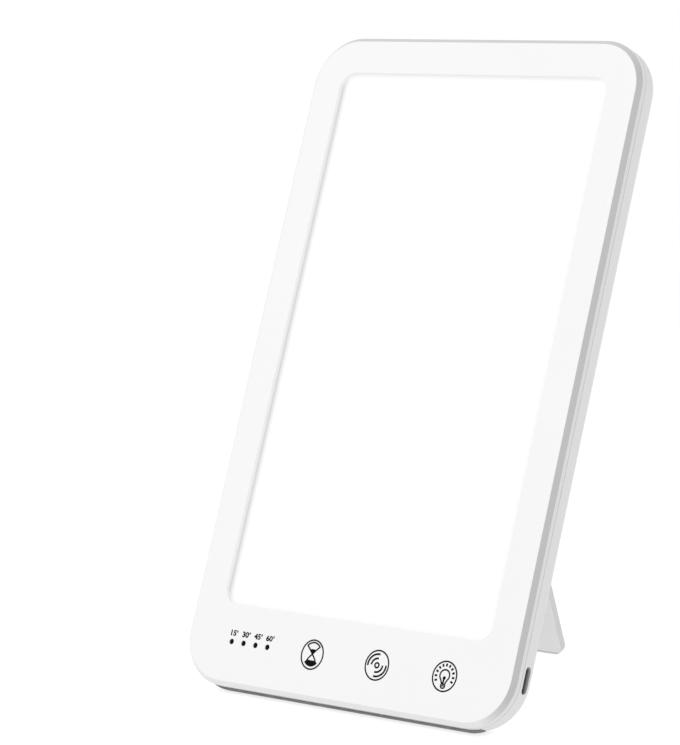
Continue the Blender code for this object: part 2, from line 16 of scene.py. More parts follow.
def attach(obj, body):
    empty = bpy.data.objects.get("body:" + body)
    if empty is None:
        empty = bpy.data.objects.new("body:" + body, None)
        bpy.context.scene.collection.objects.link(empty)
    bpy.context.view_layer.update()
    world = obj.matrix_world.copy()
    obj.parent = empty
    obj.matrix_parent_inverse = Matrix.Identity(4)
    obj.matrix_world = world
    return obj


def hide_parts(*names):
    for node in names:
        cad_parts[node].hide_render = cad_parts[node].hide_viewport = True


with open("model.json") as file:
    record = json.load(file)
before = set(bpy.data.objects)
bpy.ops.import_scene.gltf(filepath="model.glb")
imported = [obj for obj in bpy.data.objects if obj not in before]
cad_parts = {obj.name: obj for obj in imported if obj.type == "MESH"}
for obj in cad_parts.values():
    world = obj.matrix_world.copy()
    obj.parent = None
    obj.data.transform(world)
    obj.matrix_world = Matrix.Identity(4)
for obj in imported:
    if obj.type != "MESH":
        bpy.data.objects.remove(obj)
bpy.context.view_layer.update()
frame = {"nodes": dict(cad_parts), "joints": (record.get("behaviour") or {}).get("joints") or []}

bl_info = {
    "name": "Light Therapy Lamp",
    "version": (1, 0, 0),
    "blender": (4, 5, 0),
    "location": "3D View > Sidebar > Lamp",
    "description": "Dresses a light therapy lamp with its mouldings, signs and finishes",
    "category": "Object",
}

MM = 0.001

# The case, as the solids have it
LEAN = math.radians(25)
CORNER_RADIUS = 17.7 * MM
EDGE_CHAMFER = 1.6 * MM
RIM_DEPTH = 3.6 * MM
WALL = 1.8 * MM
SEAT = 0.25 * MM
BACK_ROUNDING = 6 * MM
COVER_ROUNDING = 6.08 * MM
TONGUE_INSET = 2.05 * MM
TONGUE_THICKNESS = 1.0 * MM
TONGUE_REACH = 2.4 * MM
PARTING_GAP = 0.25 * MM
WINDOW_RADIUS = 6.5 * MM
WINDOW_LIP = 2.2 * MM
WINDOW_REBATE = 3 * MM
LOCATING_RIB = 1.0 * MM
OVERRUN = 1 * MM
BITE = 0.4 * MM
FLARE_SHARES = ((0, -1), (0.13, -0.5), (0.5, -0.13), (1.5, 0.13))

# Screws, their bosses and their wells
BOSS_RADIUS = 2.4 * MM
SCREW_HOLE_RADIUS = 1.15 * MM
SCREW_SHANK_RADIUS = 0.95 * MM
WELL_RADIUS = 2.5 * MM
WELL_DEPTH = 3 * MM
WELL_WALL = 1.1 * MM
WELL_FLOOR = 1.4 * MM
CASE_SCREW_HEAD = 1.5 * MM
BOARD_SCREW_HEAD = 1.3 * MM
BOARD_THICKNESS = 1.2 * MM
THREAD_PITCH = 0.6 * MM
THREAD_ROOT = 0.74 * MM
HEAD_EDGE = 0.35 * MM
HEAD_DOME = 0.12 * MM
HEAD_CROWN_SHARE = 0.6
HEAD_FLAT_SHARE = 0.3
SCREW_TIP_SHARE = 0.55
DRIVE_LENGTH = 2.2 * MM
DRIVE_WIDTH = 0.5 * MM
DRIVE_DEPTH = 0.8 * MM
DRIVE_TAPER_SHARE = 0.35

# Socket in the right side wall
PORT_MOUTH_LENGTH = 9.0 * MM
PORT_MOUTH_WIDTH = 2.8 * MM
PORT_EDGE_SHARE = 0.6
PORT_ROLL_SHARE = 0.35
# How deep into the port's mouth its painted shade starts, and where it is full
PORT_LIT_DEPTH = 0.7 * MM
PORT_DARK_DEPTH = 1.3 * MM
PORT_WALL = 0.3 * MM
PORT_BACK = 0.6 * MM
BLADE_TIP_SHARES = ((1, 0), (0.3, 0.25), (0, 0.7))
CONTACT_COUNT = 12
CONTACT_PITCH = 0.5 * MM
CONTACT_WIDTH = 0.25 * MM
CONTACT_LENGTH = 3.6 * MM
CONTACT_RISE = 0.03 * MM

# Strip under the bottom edge
STRIP_SINK = 0.6 * MM
STRIP_PROUD = 0.8 * MM
STRIP_SOLE_CUT = 0.302 * MM
STRIP_FRONT_REACH = 2.1 * MM
STRIP_WRAP = math.radians(50)
STRIP_CORNER_TURN = math.radians(17)
STRIP_CORNER_STEPS = 8
STRIP_STEPS = 12
STRIP_SOFTNESS = 0.15 * MM
STRIP_TAPER = 0.55 * MM
STRIP_END = ((0.2 * MM, 0), (0.06 * MM, 0.06 * MM), (0, 0.2 * MM))

# Stand, hinge and the recess that takes them
STAND_THICKNESS = 3.0 * MM
STAND_CORNER = 3.5 * MM
STAND_SHOULDER = 0.5 * MM
BORE_RADIUS = 1.1 * MM
WASHER_THICKNESS = 0.4 * MM
PIN_SEAT_LENGTH = 3.2 * MM
HINGE_BLOCK_RADIUS = 3.2 * MM
RECESS_WALL = 1.15 * MM
RECESS_GAP = 0.5 * MM
RECESS_CORNER = 4 * MM
RECESS_TOP_CORNER = 0.8 * MM
NOTCH_RADIUS = 9 * MM
NOTCH_HEIGHT = 34 * MM
SOLE_WIDTH = 1.4 * MM
SOLE_SINK = 1.4 * MM
SOLE_PROUD = 0.498 * MM
SOLE_SOFTNESS = 0.12 * MM
BARREL_EDGE = 0.2 * MM
# Painted shadow line above the stand's lower edge: its rise, width and soft edge
EDGE_SHADOW_RISE = 0.65 * MM
EDGE_SHADOW_WIDTH = 0.7 * MM
EDGE_SHADOW_SOFTNESS = 0.12 * MM

# Timer lenses, and the signs printed on the face, measured from the centre of each sign
PIN_RADIUS = 0.9 * MM
PIN_HOLE_RADIUS = 0.98 * MM
PIN_DOME = 0.25 * MM
LENS_BAR_END = 2.4 * MM
SIGN_HALF_WIDTH = 4.7 * MM
SIGN_HALF_HEIGHT = 4.97 * MM
INK_THICKNESS = 0.02 * MM
INK_SINK = 0.005 * MM
INK_STEP = 0.002 * MM
LABEL_WEIGHT = 0.04
LABEL_STEPS = 5
LABEL_HALF_DEPTH = 0.5
LABEL_STRETCH = 1.08
LABEL_RISE = 3.05 * MM
LABEL_SHIFT = 0.2 * MM
MARK_GAP = 0.45 * MM
MARK_WIDTH = 0.5 * MM
MARK_HEIGHT = 0.8 * MM
MARK_SLANT = 0.1 * MM
MINUTES = (15, 30, 45, 60)
ARC_STEP_DEGREES = 5
RAY_COUNT = 11
RAY_START_DEGREES = -24.4
RAY_TURN_DEGREES = 22.84
RAY_HALF_LENGTH = 0.5 * MM

# Layers behind the window
PANEL_EDGE = 0.15 * MM
STRIP_THICKNESS = 0.8 * MM
LED_HEIGHT = 1.2 * MM
PAINT_STEP = 0.02 * MM
LEAD_TRACK_PITCH = 0.8 * MM
STRIP_MASK = (0.88, 0.88, 0.86)
LEAD_FILM = (0.62, 0.36, 0.12)

# Stage
FLOOR_RADIUS = 8.0
FLOOR_STEPS = 96
FLOOR_DROP = 0.02 * MM
FLOOR_FADE_START = 0.25
FLOOR_FADE_END = 0.9
KEY_PLACE = (-0.9, -1.4, 1.3)
KEY_SIZE = 1.2
SIDE_PLACE = (1.5, -0.8, 0.9)
SIDE_SIZE = 1.2

# Fineness of the meshes
CORNER_STEPS = 24
BACK_STEPS = 14
EDGE_STEPS = 4
CIRCLE_STEPS = 48
DOME_STEPS = 6
SMALL_RADIUS = 1 * MM
SHARP_ANGLE = math.radians(34)
SUPPORT = 0.7 * MM

# Camera, solved from the case's edges in the photograph
IMAGE_LONG_SIDE = 745
FOCAL_PIXELS = 3090.9
SENSOR_WIDTH = 36.0
VIEW_AZIMUTH = math.radians(38.277)
VIEW_ELEVATION = math.radians(10.421)
VIEW_ROLL = math.radians(2.830)
VIEW_DISTANCE = 1.05349
VIEW_AIM = Vector((-0.020873, -0.016353, 0.108505))


def colour_setting(name, description, default):
    return FloatVectorProperty(
        name=name, description=description, default=default, min=0, max=1, size=3, subtype="COLOR",
    )


def length_setting(name, description, default, low, high):
    return FloatProperty(
        name=name, description=description, default=default, min=low, max=high,
        subtype="DISTANCE", unit="LENGTH",
    )


def number_setting(name, description, default, high, **kind):
    return FloatProperty(name=name, description=description, default=default, min=0, max=high, **kind)


class LampCaseSettings(bpy.types.PropertyGroup):
    edge_softness: length_setting(
        "Edge softness", "Radius of the moulded edges of the case", 0.3 * MM, 0.1 * MM, 0.6 * MM,
    )
    bezel_colour: colour_setting("Bezel", "Colour of the glossy front frame", (0.905, 0.90, 0.91))
    # Painted shade: the frame's side wall is a darker copy of the bezel's gloss white
    rim_colour: colour_setting("Rim", "Colour of the front frame's side wall", (0.80, 0.795, 0.805))
    # Painted shade: the chamfer band is greyed, more where it faces up and most where it faces right
    chamfer_colour: colour_setting(
        "Chamfer", "Colour of the satin band round the front edge", (0.80, 0.795, 0.805),
    )
    chamfer_right_colour: colour_setting(
        "Chamfer, right", "Colour of the band on the right side", (0.53, 0.525, 0.54),
    )
    chamfer_top_colour: colour_setting(
        "Chamfer, top", "Colour of the band on the top side", (0.64, 0.635, 0.645),
    )
    cover_colour: colour_setting("Rear cover", "Colour of the satin rear shell", (0.83, 0.825, 0.835))
    # Painted shade: the walls of the port's mouth are darkened, most deeper in
    mouth_colour: colour_setting(
        "Port mouth", "Colour of the lining at the port's edge", (0.56, 0.56, 0.565),
    )
    mouth_deep_colour: colour_setting(
        "Port mouth, deep", "Colour of the lining deeper in the port", (0.19, 0.19, 0.195),
    )


class LampWindowSettings(bpy.types.PropertyGroup):
    panel_colour: colour_setting("Panel", "Colour of the opal panel in daylight", (0.25, 0.25, 0.25))
    glow_colour: colour_setting("Glow", "Colour of the light that the panel gives", (1.0, 0.995, 0.99))
    glow_strength: number_setting("Glow strength", "Brightness of the lit panel, 1 being white", 0.74, 10)
    fade_reach: length_setting(
        "Fade reach", "How far in from its edge the panel is dimmer", 3.0 * MM, 0.1 * MM, 20 * MM,
    )
    # Dimming at the panel's edges: partly the panel's own fall-off, partly painted shade from the frame's
    # edge
    left_dimming: number_setting(
        "Left dimming", "Share of the light that is lost at the left edge", 0.34, 1, subtype="FACTOR",
    )
    right_dimming: number_setting(
        "Right dimming", "Share of the light that is lost at the right edge", 0.12, 1, subtype="FACTOR",
    )
    right_shade: length_setting(
        "Right shade", "Width of the band at the right edge that is evenly dim", 1.67 * MM, 0, 5 * MM,
    )
    end_dimming: number_setting(
        "End dimming", "Share of the light that is lost at the top and bottom edges", 0.12, 1,
        subtype="FACTOR",
    )


class LampSignSettings(bpy.types.PropertyGroup):
    line_width: length_setting("Line width", "Width of the printed lines", 0.54 * MM, 0.1 * MM, 1 * MM)
    label_height: length_setting(
        "Label height", "Height of the minute numbers", 2.05 * MM, 0.5 * MM, 4 * MM,
    )
    ink_colour: colour_setting("Ink", "Colour of the printed signs", (0.005, 0.005, 0.005))


class LampStandSettings(bpy.types.PropertyGroup):
    # Painted light: the stand is a lighter white than the rear cover's same plastic
    stand_colour: colour_setting("Stand", "Colour of the stand's satin plastic", (0.95, 0.945, 0.955))
    # Painted shade: the stand's narrow right side is greyer
    stand_side_colour: colour_setting(
        "Stand, right side", "Colour of the stand's narrow right side", (0.74, 0.735, 0.745),
    )
    # Painted shadow: the thin dark line just above the stand's lower edge
    seam_colour: colour_setting(
        "Stand seam", "Colour of the thin line above the stand's lower edge", (0.60, 0.60, 0.61),
    )
    stand_edge: length_setting(
        "Stand edge", "Radius of the stand's long edges", 0.45 * MM, 0.1 * MM, 1 * MM,
    )
    strip_colour: colour_setting(
        "Foot strip", "Colour of the rubber strip under the case", (0.24, 0.24, 0.245),
    )
    pad_colour: colour_setting("Stand pad", "Colour of the rubber pad in the stand", (0.30, 0.30, 0.31))


class LampStageSettings(bpy.types.PropertyGroup):
    daylight: number_setting("Daylight", "Strength of the even light from all round", 0.62, 2)
    key_power: number_setting(
        "Key light", "Power of the soft lamp in front, upper left", 14.0, 200, unit="POWER",
    )
    side_power: number_setting("Side light", "Power of the soft lamp on the right", 5.2, 200, unit="POWER")
    floor_lift: number_setting("Floor lift", "Light that the floor gives of its own", 0.46, 1)
    floor_whiteness: number_setting(
        "Floor whiteness", "Further light of the floor that only the camera sees", 0.27, 1,
    )
    floor_colour: colour_setting("Floor", "Colour of the studio floor", (0.45, 0.45, 0.45))


def box_in(node, matrix):
    """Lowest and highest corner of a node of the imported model, in the axes of the matrix."""
    inverse = matrix.inverted()
    points = [inverse @ vertex.co for vertex in frame["nodes"][node].data.vertices]
    low = Vector([min(point[axis] for point in points) for axis in range(3)])
    high = Vector([max(point[axis] for point in points) for axis in range(3)])
    return low, high


def find_case_axes():
    """The case's own axes: leaned back, from the middle of the face's bottom edge."""
    turn = Matrix.Rotation(-LEAN, 4, "X")
    low, high = box_in("front_bezel", turn)
    return turn @ Matrix.Translation((0, low.y, low.z))


def find_stand_axes():
    """The stand's own axes, about its hinge as it is when open."""
    hinge = frame["joints"][0]
    opening = -math.radians(hinge["range_deg"][0])
    return Matrix.Translation(hinge["pos_m"]) @ Matrix.Rotation(opening - LEAN, 4, "X")


CASE = find_case_axes()
STAND = find_stand_axes()
HINGE = CASE.inverted() @ STAND.translation
bezel_high = box_in("front_bezel", CASE)[1]
cover_high = box_in("rear_cover", CASE)[1]
panel_low, panel_high = box_in("diffuser_panel", CASE)
plate_low, plate_high = box_in("stand_plate", STAND)
sole_low, sole_high = box_in("stand_foot_pad", STAND)
shell_low, shell_high = box_in("usb_c_shell", CASE)
pipe_low, pipe_high = box_in("timer_light_pipe", CASE)

case_half = bezel_high.x
case_height = bezel_high.z
case_depth = cover_high.y
back_inside = case_depth - WALL
window_half = panel_high.x - WINDOW_REBATE + SEAT
window_low = panel_low.z + WINDOW_REBATE - SEAT
window_high = panel_high.z - WINDOW_REBATE + SEAT
key_row = (pipe_low.z + pipe_high.z) / 2
port_middle = (shell_low + shell_high) / 2
barrel_radius = -plate_low.y
barrel_half = plate_high.x - WASHER_THICKNESS
recess_floor = HINGE.y - barrel_radius - SEAT
recess_wall_front = recess_floor - RECESS_WALL
recess_half = barrel_half + WASHER_THICKNESS + 2 * SEAT
recess_low = HINGE.z + sole_low.z - RECESS_GAP
recess_high = HINGE.z + math.hypot(plate_high.z, STAND_THICKNESS / 2) + RECESS_GAP
well_floor_depth = case_depth - WELL_DEPTH
timer_first = pipe_low.x + LENS_BAR_END
timer_pitch = (pipe_high.x - LENS_BAR_END - timer_first) / (len(MINUTES) - 1)
timer_places = [timer_first + timer_pitch * place for place in range(len(MINUTES))]
CASE_SCREWS = ["case_screw_" + corner for corner in ("bottom_left", "bottom_right", "top_left", "top_right")]
BOARD_SCREWS = ["board_screw_left", "board_screw_right"]


def screw_place(node):
    """Where a screw stands, as x and z, and the depth that its head sits at."""
    low, high = box_in(node, CASE)
    head = CASE_SCREW_HEAD if node in CASE_SCREWS else BOARD_SCREW_HEAD
    return (low.x + high.x) / 2, (low.z + high.z) / 2, high.y - head


def soften(points):
    """Rounds the corners of an open section. Each point is (inset, depth, radius)."""
    section = []
    for i, (inset, depth, radius) in enumerate(points):
        if not radius:
            section.append((inset, depth))
            continue
        corner = Vector((inset, depth))
        before = (Vector(points[i - 1][:2]) - corner).normalized()
        after = (Vector(points[(i + 1) % len(points)][:2]) - corner).normalized()
        half = before.angle(after) / 2
        centre = corner + (before + after).normalized() * radius / math.sin(half)
        start = corner + before * radius / math.tan(half) - centre
        end = corner + after * radius / math.tan(half) - centre
        turn = start.angle(end)
        steps = BACK_STEPS if radius > SMALL_RADIUS else EDGE_STEPS
        for step in range(steps + 1):
            share = step / steps
            spoke = (start * math.sin((1 - share) * turn) + end * math.sin(share * turn)) / math.sin(turn)
            section.append(tuple(centre + spoke))
    return section


def rounded(x_low, x_high, z_low, z_high, low_radius, high_radius, steps=CORNER_STEPS):
    """A rectangle with round corners, as (x, z) points that run round it from its lower right."""
    corners = (
        (x_high - low_radius, z_low + low_radius, low_radius, -math.pi / 2),
        (x_high - high_radius, z_high - high_radius, high_radius, 0),
        (x_low + high_radius, z_high - high_radius, high_radius, math.pi / 2),
        (x_low + low_radius, z_low + low_radius, low_radius, math.pi),
    )
    points = []
    for x, z, radius, start in corners:
        for step in range(steps + 1):
            angle = start + math.pi / 2 * step / steps
            points.append((x + radius * math.cos(angle), z + radius * math.sin(angle)))
    return points


def case_outline(inset):
    radius = CORNER_RADIUS - inset
    return rounded(inset - case_half, case_half - inset, inset, case_height - inset, radius, radius)


def window_outline(grow):
    half = window_half + grow
    radius = WINDOW_RADIUS + grow
    return rounded(-half, half, window_low - grow, window_high + grow, radius, radius)


def recess_outline(grow):
    half = recess_half + grow
    return rounded(
        -half, half, recess_low - grow, recess_high + grow, RECESS_CORNER + grow, RECESS_TOP_CORNER + grow
    )


def slot_outline(length, width):
    """A slot with round ends, as (y, z) points about zero, long in z."""
    return rounded(-width / 2, width / 2, -length / 2, length / 2, width / 2, width / 2)


def at_depth(outline, depth):
    return [Vector((x, depth, z)) for x, z in outline]


def across(outline, x, depth=0, height=0):
    return [Vector((x, depth + y, height + z)) for y, z in outline]


def add_rings(form, rings, closed=False, painted=()):
    """Joins rings of equal length with faces. Each range of painted bands takes the next material."""
    rows = [[form.verts.new(point) for point in ring] for ring in rings]
    pairs = list(zip(rows, rows[1:]))
    if closed:
        pairs.append((rows[-1], rows[0]))
    else:
        form.faces.new(rows[0])
        form.faces.new(rows[-1])
    for band, (near, far) in enumerate(pairs):
        for i in range(len(near)):
            j = (i + 1) % len(near)
            face = form.faces.new((near[i], near[j], far[j], far[i]))
            for place, bands in enumerate(painted):
                if band in bands:
                    face.material_index = place + 1


def ring_form(rings, **options):
    """A form of its own, made of joined rings."""
    form = bmesh.new()
    add_rings(form, rings, **options)
    return form


def add_block(form, low, high):
    ring = [(low[0], low[2]), (high[0], low[2]), (high[0], high[2]), (low[0], high[2])]
    add_rings(form, [at_depth(ring, low[1]), at_depth(ring, high[1])])


def add_turned(form, centre, axis, profile, closed=False, steps=CIRCLE_STEPS):
    """Turns (radius, distance) points about an axis through the centre."""
    axis = Vector(axis)
    side = axis.orthogonal().normalized()
    other = axis.cross(side)
    rings = []
    for radius, distance in profile:
        angles = [2 * math.pi * step / steps for step in range(steps)]
        spokes = [side * math.cos(angle) + other * math.sin(angle) for angle in angles]
        rings.append([Vector(centre) + axis * distance + spoke * radius for spoke in spokes])
    add_rings(form, rings, closed)


def add_post(form, x, z, profile):
    """Turns (radius, depth) points about a line that runs through the case at (x, z)."""
    add_turned(form, (x, 0, z), (0, 1, 0), profile)


def flare(edge, surface):
    """The mouth of a cut, as (grow, depth): it opens in a soft edge and passes out of the surface."""
    mouth = [(grow * edge, surface + rise * edge) for grow, rise in FLARE_SHARES]
    return mouth + [(mouth[-1][0], surface + OVERRUN)]


def add_to_scene(name, data):
    item = bpy.data.objects.new(name, data)
    bpy.context.scene.collection.objects.link(item)
    return item


def new_object(name, form, matrix, materials=()):
    bmesh.ops.recalc_face_normals(form, faces=form.faces)
    mesh = bpy.data.meshes.new(name)
    form.to_mesh(mesh)
    form.free()
    for material in materials:
        mesh.materials.append(material)
    item = add_to_scene(name, mesh)
    item.matrix_world = matrix
    return item


def baked_mesh(item):
    bpy.context.view_layer.update()
    depsgraph = bpy.context.evaluated_depsgraph_get()
    return bpy.data.meshes.new_from_object(item.evaluated_get(depsgraph), depsgraph=depsgraph)


def shape(item, steps):
    """Joins forms to the item or cuts them out, in order, and keeps the result as its mesh."""
    tools = []
    for operation, form in steps:
        tool = new_object("tool", form, item.matrix_world, item.data.materials)
        modifier = item.modifiers.new("shape", "BOOLEAN")
        modifier.operation = operation
        modifier.solver = "EXACT"
        modifier.object = tool
        tools.append(tool)
    mesh = baked_mesh(item)
    old = item.data
    item.modifiers.clear()
    item.data = mesh
    mesh.name = item.name
    bpy.data.meshes.remove(old)
    for tool in tools:
        bpy.data.meshes.remove(tool.data)


def smooth(item):
    """Shades the item smooth but for its sharp edges."""
    item.data.shade_smooth()
    item.data.set_sharp_from_angle(angle=SHARP_ANGLE)


def dress(item, body, nodes):
    """Smooths the item, brings it into the shared frame and puts it on its body for the nodes."""
    item.data.transform(item.matrix_world)
    item.matrix_world = Matrix.Identity(4)
    smooth(item)
    modifier = item.modifiers.new("weighted_normals", "WEIGHTED_NORMAL")
    modifier.keep_sharp = True
    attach(item, body)
    if nodes:
        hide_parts(*nodes)
    return item


def fill(tree, socket, value):
    """Gives a socket a value, or links it to another node's output. None leaves it as it is."""
    if isinstance(value, bpy.types.NodeSocket):
        tree.links.new(value, socket)
    elif value is not None:
        socket.default_value = value


def add_node(tree, kind, inputs=None, output=0, **options):
    """Adds a shader node with its options and inputs, and gives one of its outputs."""
    node = tree.nodes.new("ShaderNode" + kind)
    for option, value in options.items():
        setattr(node, option, value)
    for socket, value in (inputs or {}).items():
        fill(tree, node.inputs[socket], value)
    return node.outputs[output]


class Surface:
    """A Principled material and the patterns of its finish, in the axes of the case or the stand."""

    def __init__(self, name, colour, roughness, metallic=0.0, axes=CASE):
        self.material = bpy.data.materials.new(name)
        self.material.use_nodes = True
        self.tree = self.material.node_tree
        self.shader = self.tree.nodes["Principled BSDF"]
        self.colour = tuple(colour)
        self.turn = axes.inverted().to_euler()
        place = self.add("TexCoord", output="Object")
        shift = axes.inverted().translation
        self.coordinates = self.add("Mapping", {"Location": shift, "Rotation": self.turn, "Vector": place})
        self.set("Base Color", (*colour, 1))
        self.set("Roughness", roughness)
        self.set("Metallic", metallic)

    def add(self, kind, inputs=None, output=0, **options):
        return add_node(self.tree, kind, inputs, output, **options)

    def set(self, socket, value):
        fill(self.tree, self.shader.inputs[socket], value)

    def source(self, socket):
        """The output that feeds a socket of the shader."""
        links = self.shader.inputs[socket].links
        return links[0].from_socket if links else None

    def split(self, axis):
        """One coordinate of the point."""
        return self.add("SeparateXYZ", {"Vector": self.coordinates}, axis)

    def facing(self, axis):
        """How far the surface faces along an axis, from -1 to 1."""
        normal = self.add("TexCoord", output="Normal")
        turned = self.add("Mapping", {"Rotation": self.turn, "Vector": normal}, vector_type="VECTOR")
        return self.add("SeparateXYZ", {"Vector": turned}, axis)

    def blend(self, share, *ends):
        """A colour between two ends, by a share from 0 to 1. Each end is a colour or an output."""
        first, second = (end if isinstance(end, bpy.types.NodeSocket) else (*end, 1) for end in ends)
        return self.add("Mix", {"A": first, "B": second, "Factor": share}, "Result", data_type="RGBA")

    def noise(self, size, detail=2.0, stretch=None):
        """Soft noise with features of about that size, from 0 to 1. It can be stretched along the axes."""
        source = self.coordinates
        if stretch:
            source = self.add("Mapping", {"Scale": stretch, "Vector": source})
        return self.add("TexNoise", {"Scale": 1 / size, "Detail": detail, "Vector": source}, "Fac")

    def cells(self, size, randomness=1.0):
        """The distance from scattered points of about that spacing."""
        inputs = {"Scale": 1 / size, "Randomness": randomness, "Vector": self.coordinates}
        return self.add("TexVoronoi", inputs, "Distance")

    def bands(self, size, axis="X"):
        """Even bands across an axis, from 0 to 1."""
        inputs = {"Scale": 1 / size, "Vector": self.coordinates}
        return self.add("TexWave", inputs, "Fac", bands_direction=axis)

    def spread(self, source, low, high, start=0.3, end=0.7):
        """Maps a pattern from start and end to low and high."""
        limits = {"From Min": start, "From Max": end, "To Min": low, "To Max": high}
        return self.add("MapRange", {**limits, "Value": source}, "Result")

    def math(self, operation, first, second=None):
        return self.add("Math", {0: first, 1: second}, operation=operation)

    def recolour(self, share, colour):
        """Blends the colour so far with another one, by a share from 0 to 1."""
        self.set("Base Color", self.blend(share, self.source("Base Color"), colour))

    def tint(self, pattern, amount):
        """Lightens and darkens the colour by that share, following a pattern."""
        dark, light = (
            tuple(min(1.0, value * (1 + change)) for value in self.colour) for change in (-amount, amount)
        )
        self.set("Base Color", self.blend(self.spread(pattern, 0, 1), dark, light))

    def gloss(self, pattern, low, high):
        """Varies the roughness between two values, following a pattern."""
        self.set("Roughness", self.spread(pattern, low, high))

    def bump(self, pattern, height, strength=1.0):
        """Raises the surface by that height where the pattern is 1."""
        inputs = {"Distance": height, "Strength": strength, "Height": pattern}
        self.set("Normal", self.add("Bump", {**inputs, "Normal": self.source("Normal")}))

    def shade_side(self, axis, colour, start, end):
        """Paints shade on the faces that look along an axis, by giving them another colour."""
        self.recolour(self.spread(self.facing(axis), 0, 1, start, end), colour)

    def fade(self, distance, dimming, reach):
        """The share of the light that is left at a distance from an edge, easing off with it."""
        loss = self.math("POWER", self.spread(distance, 1, 0, 0, reach), 2)
        return self.math("SUBTRACT", 1, self.math("MULTIPLY", loss, dimming))


def finish(name, colour, roughness, tint=None, gloss=None, bumps=(), axes=CASE, sockets=None, **options):
    """A surface whose colour, gloss and height follow noise. Its sizes and heights are in millimetres.

    The tint is (size, detail, amount), the gloss (size, detail, low, high), and each bump (size,
    detail, height, strength). A bump without detail follows scattered cells instead of noise.
    """
    surface = Surface(name, colour, roughness, axes=axes, **options)
    for socket, value in (sockets or {}).items():
        surface.set(socket, value)
    if tint:
        surface.tint(surface.noise(tint[0] * MM, tint[1]), tint[2])
    if gloss:
        surface.gloss(surface.noise(gloss[0] * MM, gloss[1]), *gloss[2:])
    for size, detail, height, strength in bumps:
        pattern = surface.noise(size * MM, detail) if detail else surface.cells(size * MM)
        surface.bump(pattern, height * MM, strength)
    return surface


def gloss_white(name, colour):
    """Glossy moulded plastic: a faint flow mottle, and the slight waviness of a flat moulding."""
    coat = {"Coat Weight": 0.25, "Coat Roughness": 0.12}
    bumps = [(22, 1, 0.012, 0.4)]
    return finish(name, colour, 0.24, (40, 1, 0.003), (18, 2, 0.22, 0.27), bumps, sockets=coat).material


def satin_white(name, colour, axes=CASE):
    """The surface of satin moulded plastic with a fine eroded grain."""
    bumps = [(18, 2, 0.012, 0.5), (0.35, None, 0.006, 0.35)]
    return finish(name, colour, 0.42, (11, 3, 0.008), (3, 4, 0.36, 0.48), bumps, axes)


def port_lining(settings):
    """The walls of the port's mouth in the cover's plastic, with painted shade that darkens deeper in."""
    surface = satin_white("port_mouth_shade", settings.mouth_colour)
    depth = surface.math("SUBTRACT", case_half, surface.split("X"))
    surface.recolour(surface.spread(depth, 0, 1, PORT_LIT_DEPTH, PORT_DARK_DEPTH), settings.mouth_deep_colour)
    return surface.material


def stand_satin(settings):
    """The stand's satin plastic, lightened as painted light, greyer on its narrow side as painted shade, with
    a painted shadow line above its lower edge.
    """
    # Painted light: a lighter white than the cover's, for the stand that stands in the case's shade
    surface = satin_white("stand_satin", settings.stand_colour, STAND)
    # Painted shade on the stand's narrow side, by the way it faces
    surface.shade_side("X", settings.stand_side_colour, 0.3, 0.9)
    # Painted shadow: a dark line just above the lower edge, where the stand meets the floor
    rise = surface.math("SUBTRACT", surface.split("Z"), plate_low.z + EDGE_SHADOW_RISE)
    away = surface.math("ABSOLUTE", rise)
    share = surface.spread(away, 1, 0, EDGE_SHADOW_WIDTH / 2 - EDGE_SHADOW_SOFTNESS, EDGE_SHADOW_WIDTH / 2)
    surface.recolour(share, settings.seam_colour)
    return surface.material


def chamfer_satin(settings):
    """The satin band round the front edge, greyed as painted shade: greyer where it faces up, greyest where
    it faces right.
    """
    surface = finish(
        "chamfer_satin", settings.chamfer_colour, 0.3, (20, 1, 0.004), (6, 2, 0.28, 0.34),
        [(12, 2, 0.006, 0.4)], metallic=0.2,
    )
    # Painted shade by the way each face looks: greyer on top, greyest on the right
    surface.shade_side("Z", settings.chamfer_top_colour, 0.1, 0.62)
    surface.shade_side("X", settings.chamfer_right_colour, 0.3, 0.66)
    return surface.material


def soft_rubber(name, colour, axes):
    """Matt moulded rubber, with a fine open grain and dusty lighter patches."""
    bumps = [(0.3, None, 0.015, 0.6)]
    dull = {"Specular IOR Level": 0.35}
    return finish(name, colour, 0.85, (3, 5, 0.12), (1, 3, 0.74, 0.92), bumps, axes, dull).material


def printed_ink(colour):
    """Pad-printed ink, a little uneven in its cover and gloss."""
    dull = {"Specular IOR Level": 0.03}
    return finish("printed_ink", colour, 0.5, (0.5, 3, 0.3), (0.3, 3, 0.42, 0.6), sockets=dull).material


def drawn_metal(name, colour, roughness, streak, across_size):
    """Metal with the fine streaks that drawing or rolling leaves along one axis."""
    surface = Surface(name, colour, roughness, metallic=1.0)
    lines = surface.noise(across_size, 4, streak)
    surface.tint(lines, 0.06)
    surface.gloss(lines, roughness * 0.8, roughness * 1.3)
    surface.bump(lines, 0.003 * MM, 0.5)
    return surface.material


def opal_panel(settings):
    """Lit opal acrylic: even light that falls off towards the edges of the panel, partly as painted shade
    from the frame's edge, strongest at the left.
    """
    bumps = [(0.4, 2, 0.002, 0.4)]
    surface = finish("opal_panel", settings.panel_colour, 0.34, (30, 2, 0.004), (2, 3, 0.3, 0.4), bumps)
    across, up = surface.split("X"), surface.split("Z")
    share = 1
    # Each edge's dimming: the panel's own fall-off, and painted shade from the frame's edge, strongest on the
    # left
    for distance, dimming in (
        (surface.math("ADD", window_half, across), settings.left_dimming),
        (surface.math("SUBTRACT", window_half - settings.right_shade, across), settings.right_dimming),
        (surface.math("SUBTRACT", up, window_low), settings.end_dimming),
        (surface.math("SUBTRACT", window_high, up), settings.end_dimming),
    ):
        share = surface.math("MULTIPLY", share, surface.fade(distance, dimming, settings.fade_reach))
    surface.set("Emission Color", surface.blend(share, (0, 0, 0), settings.glow_colour))
    surface.set("Emission Strength", settings.glow_strength)
    return surface.material


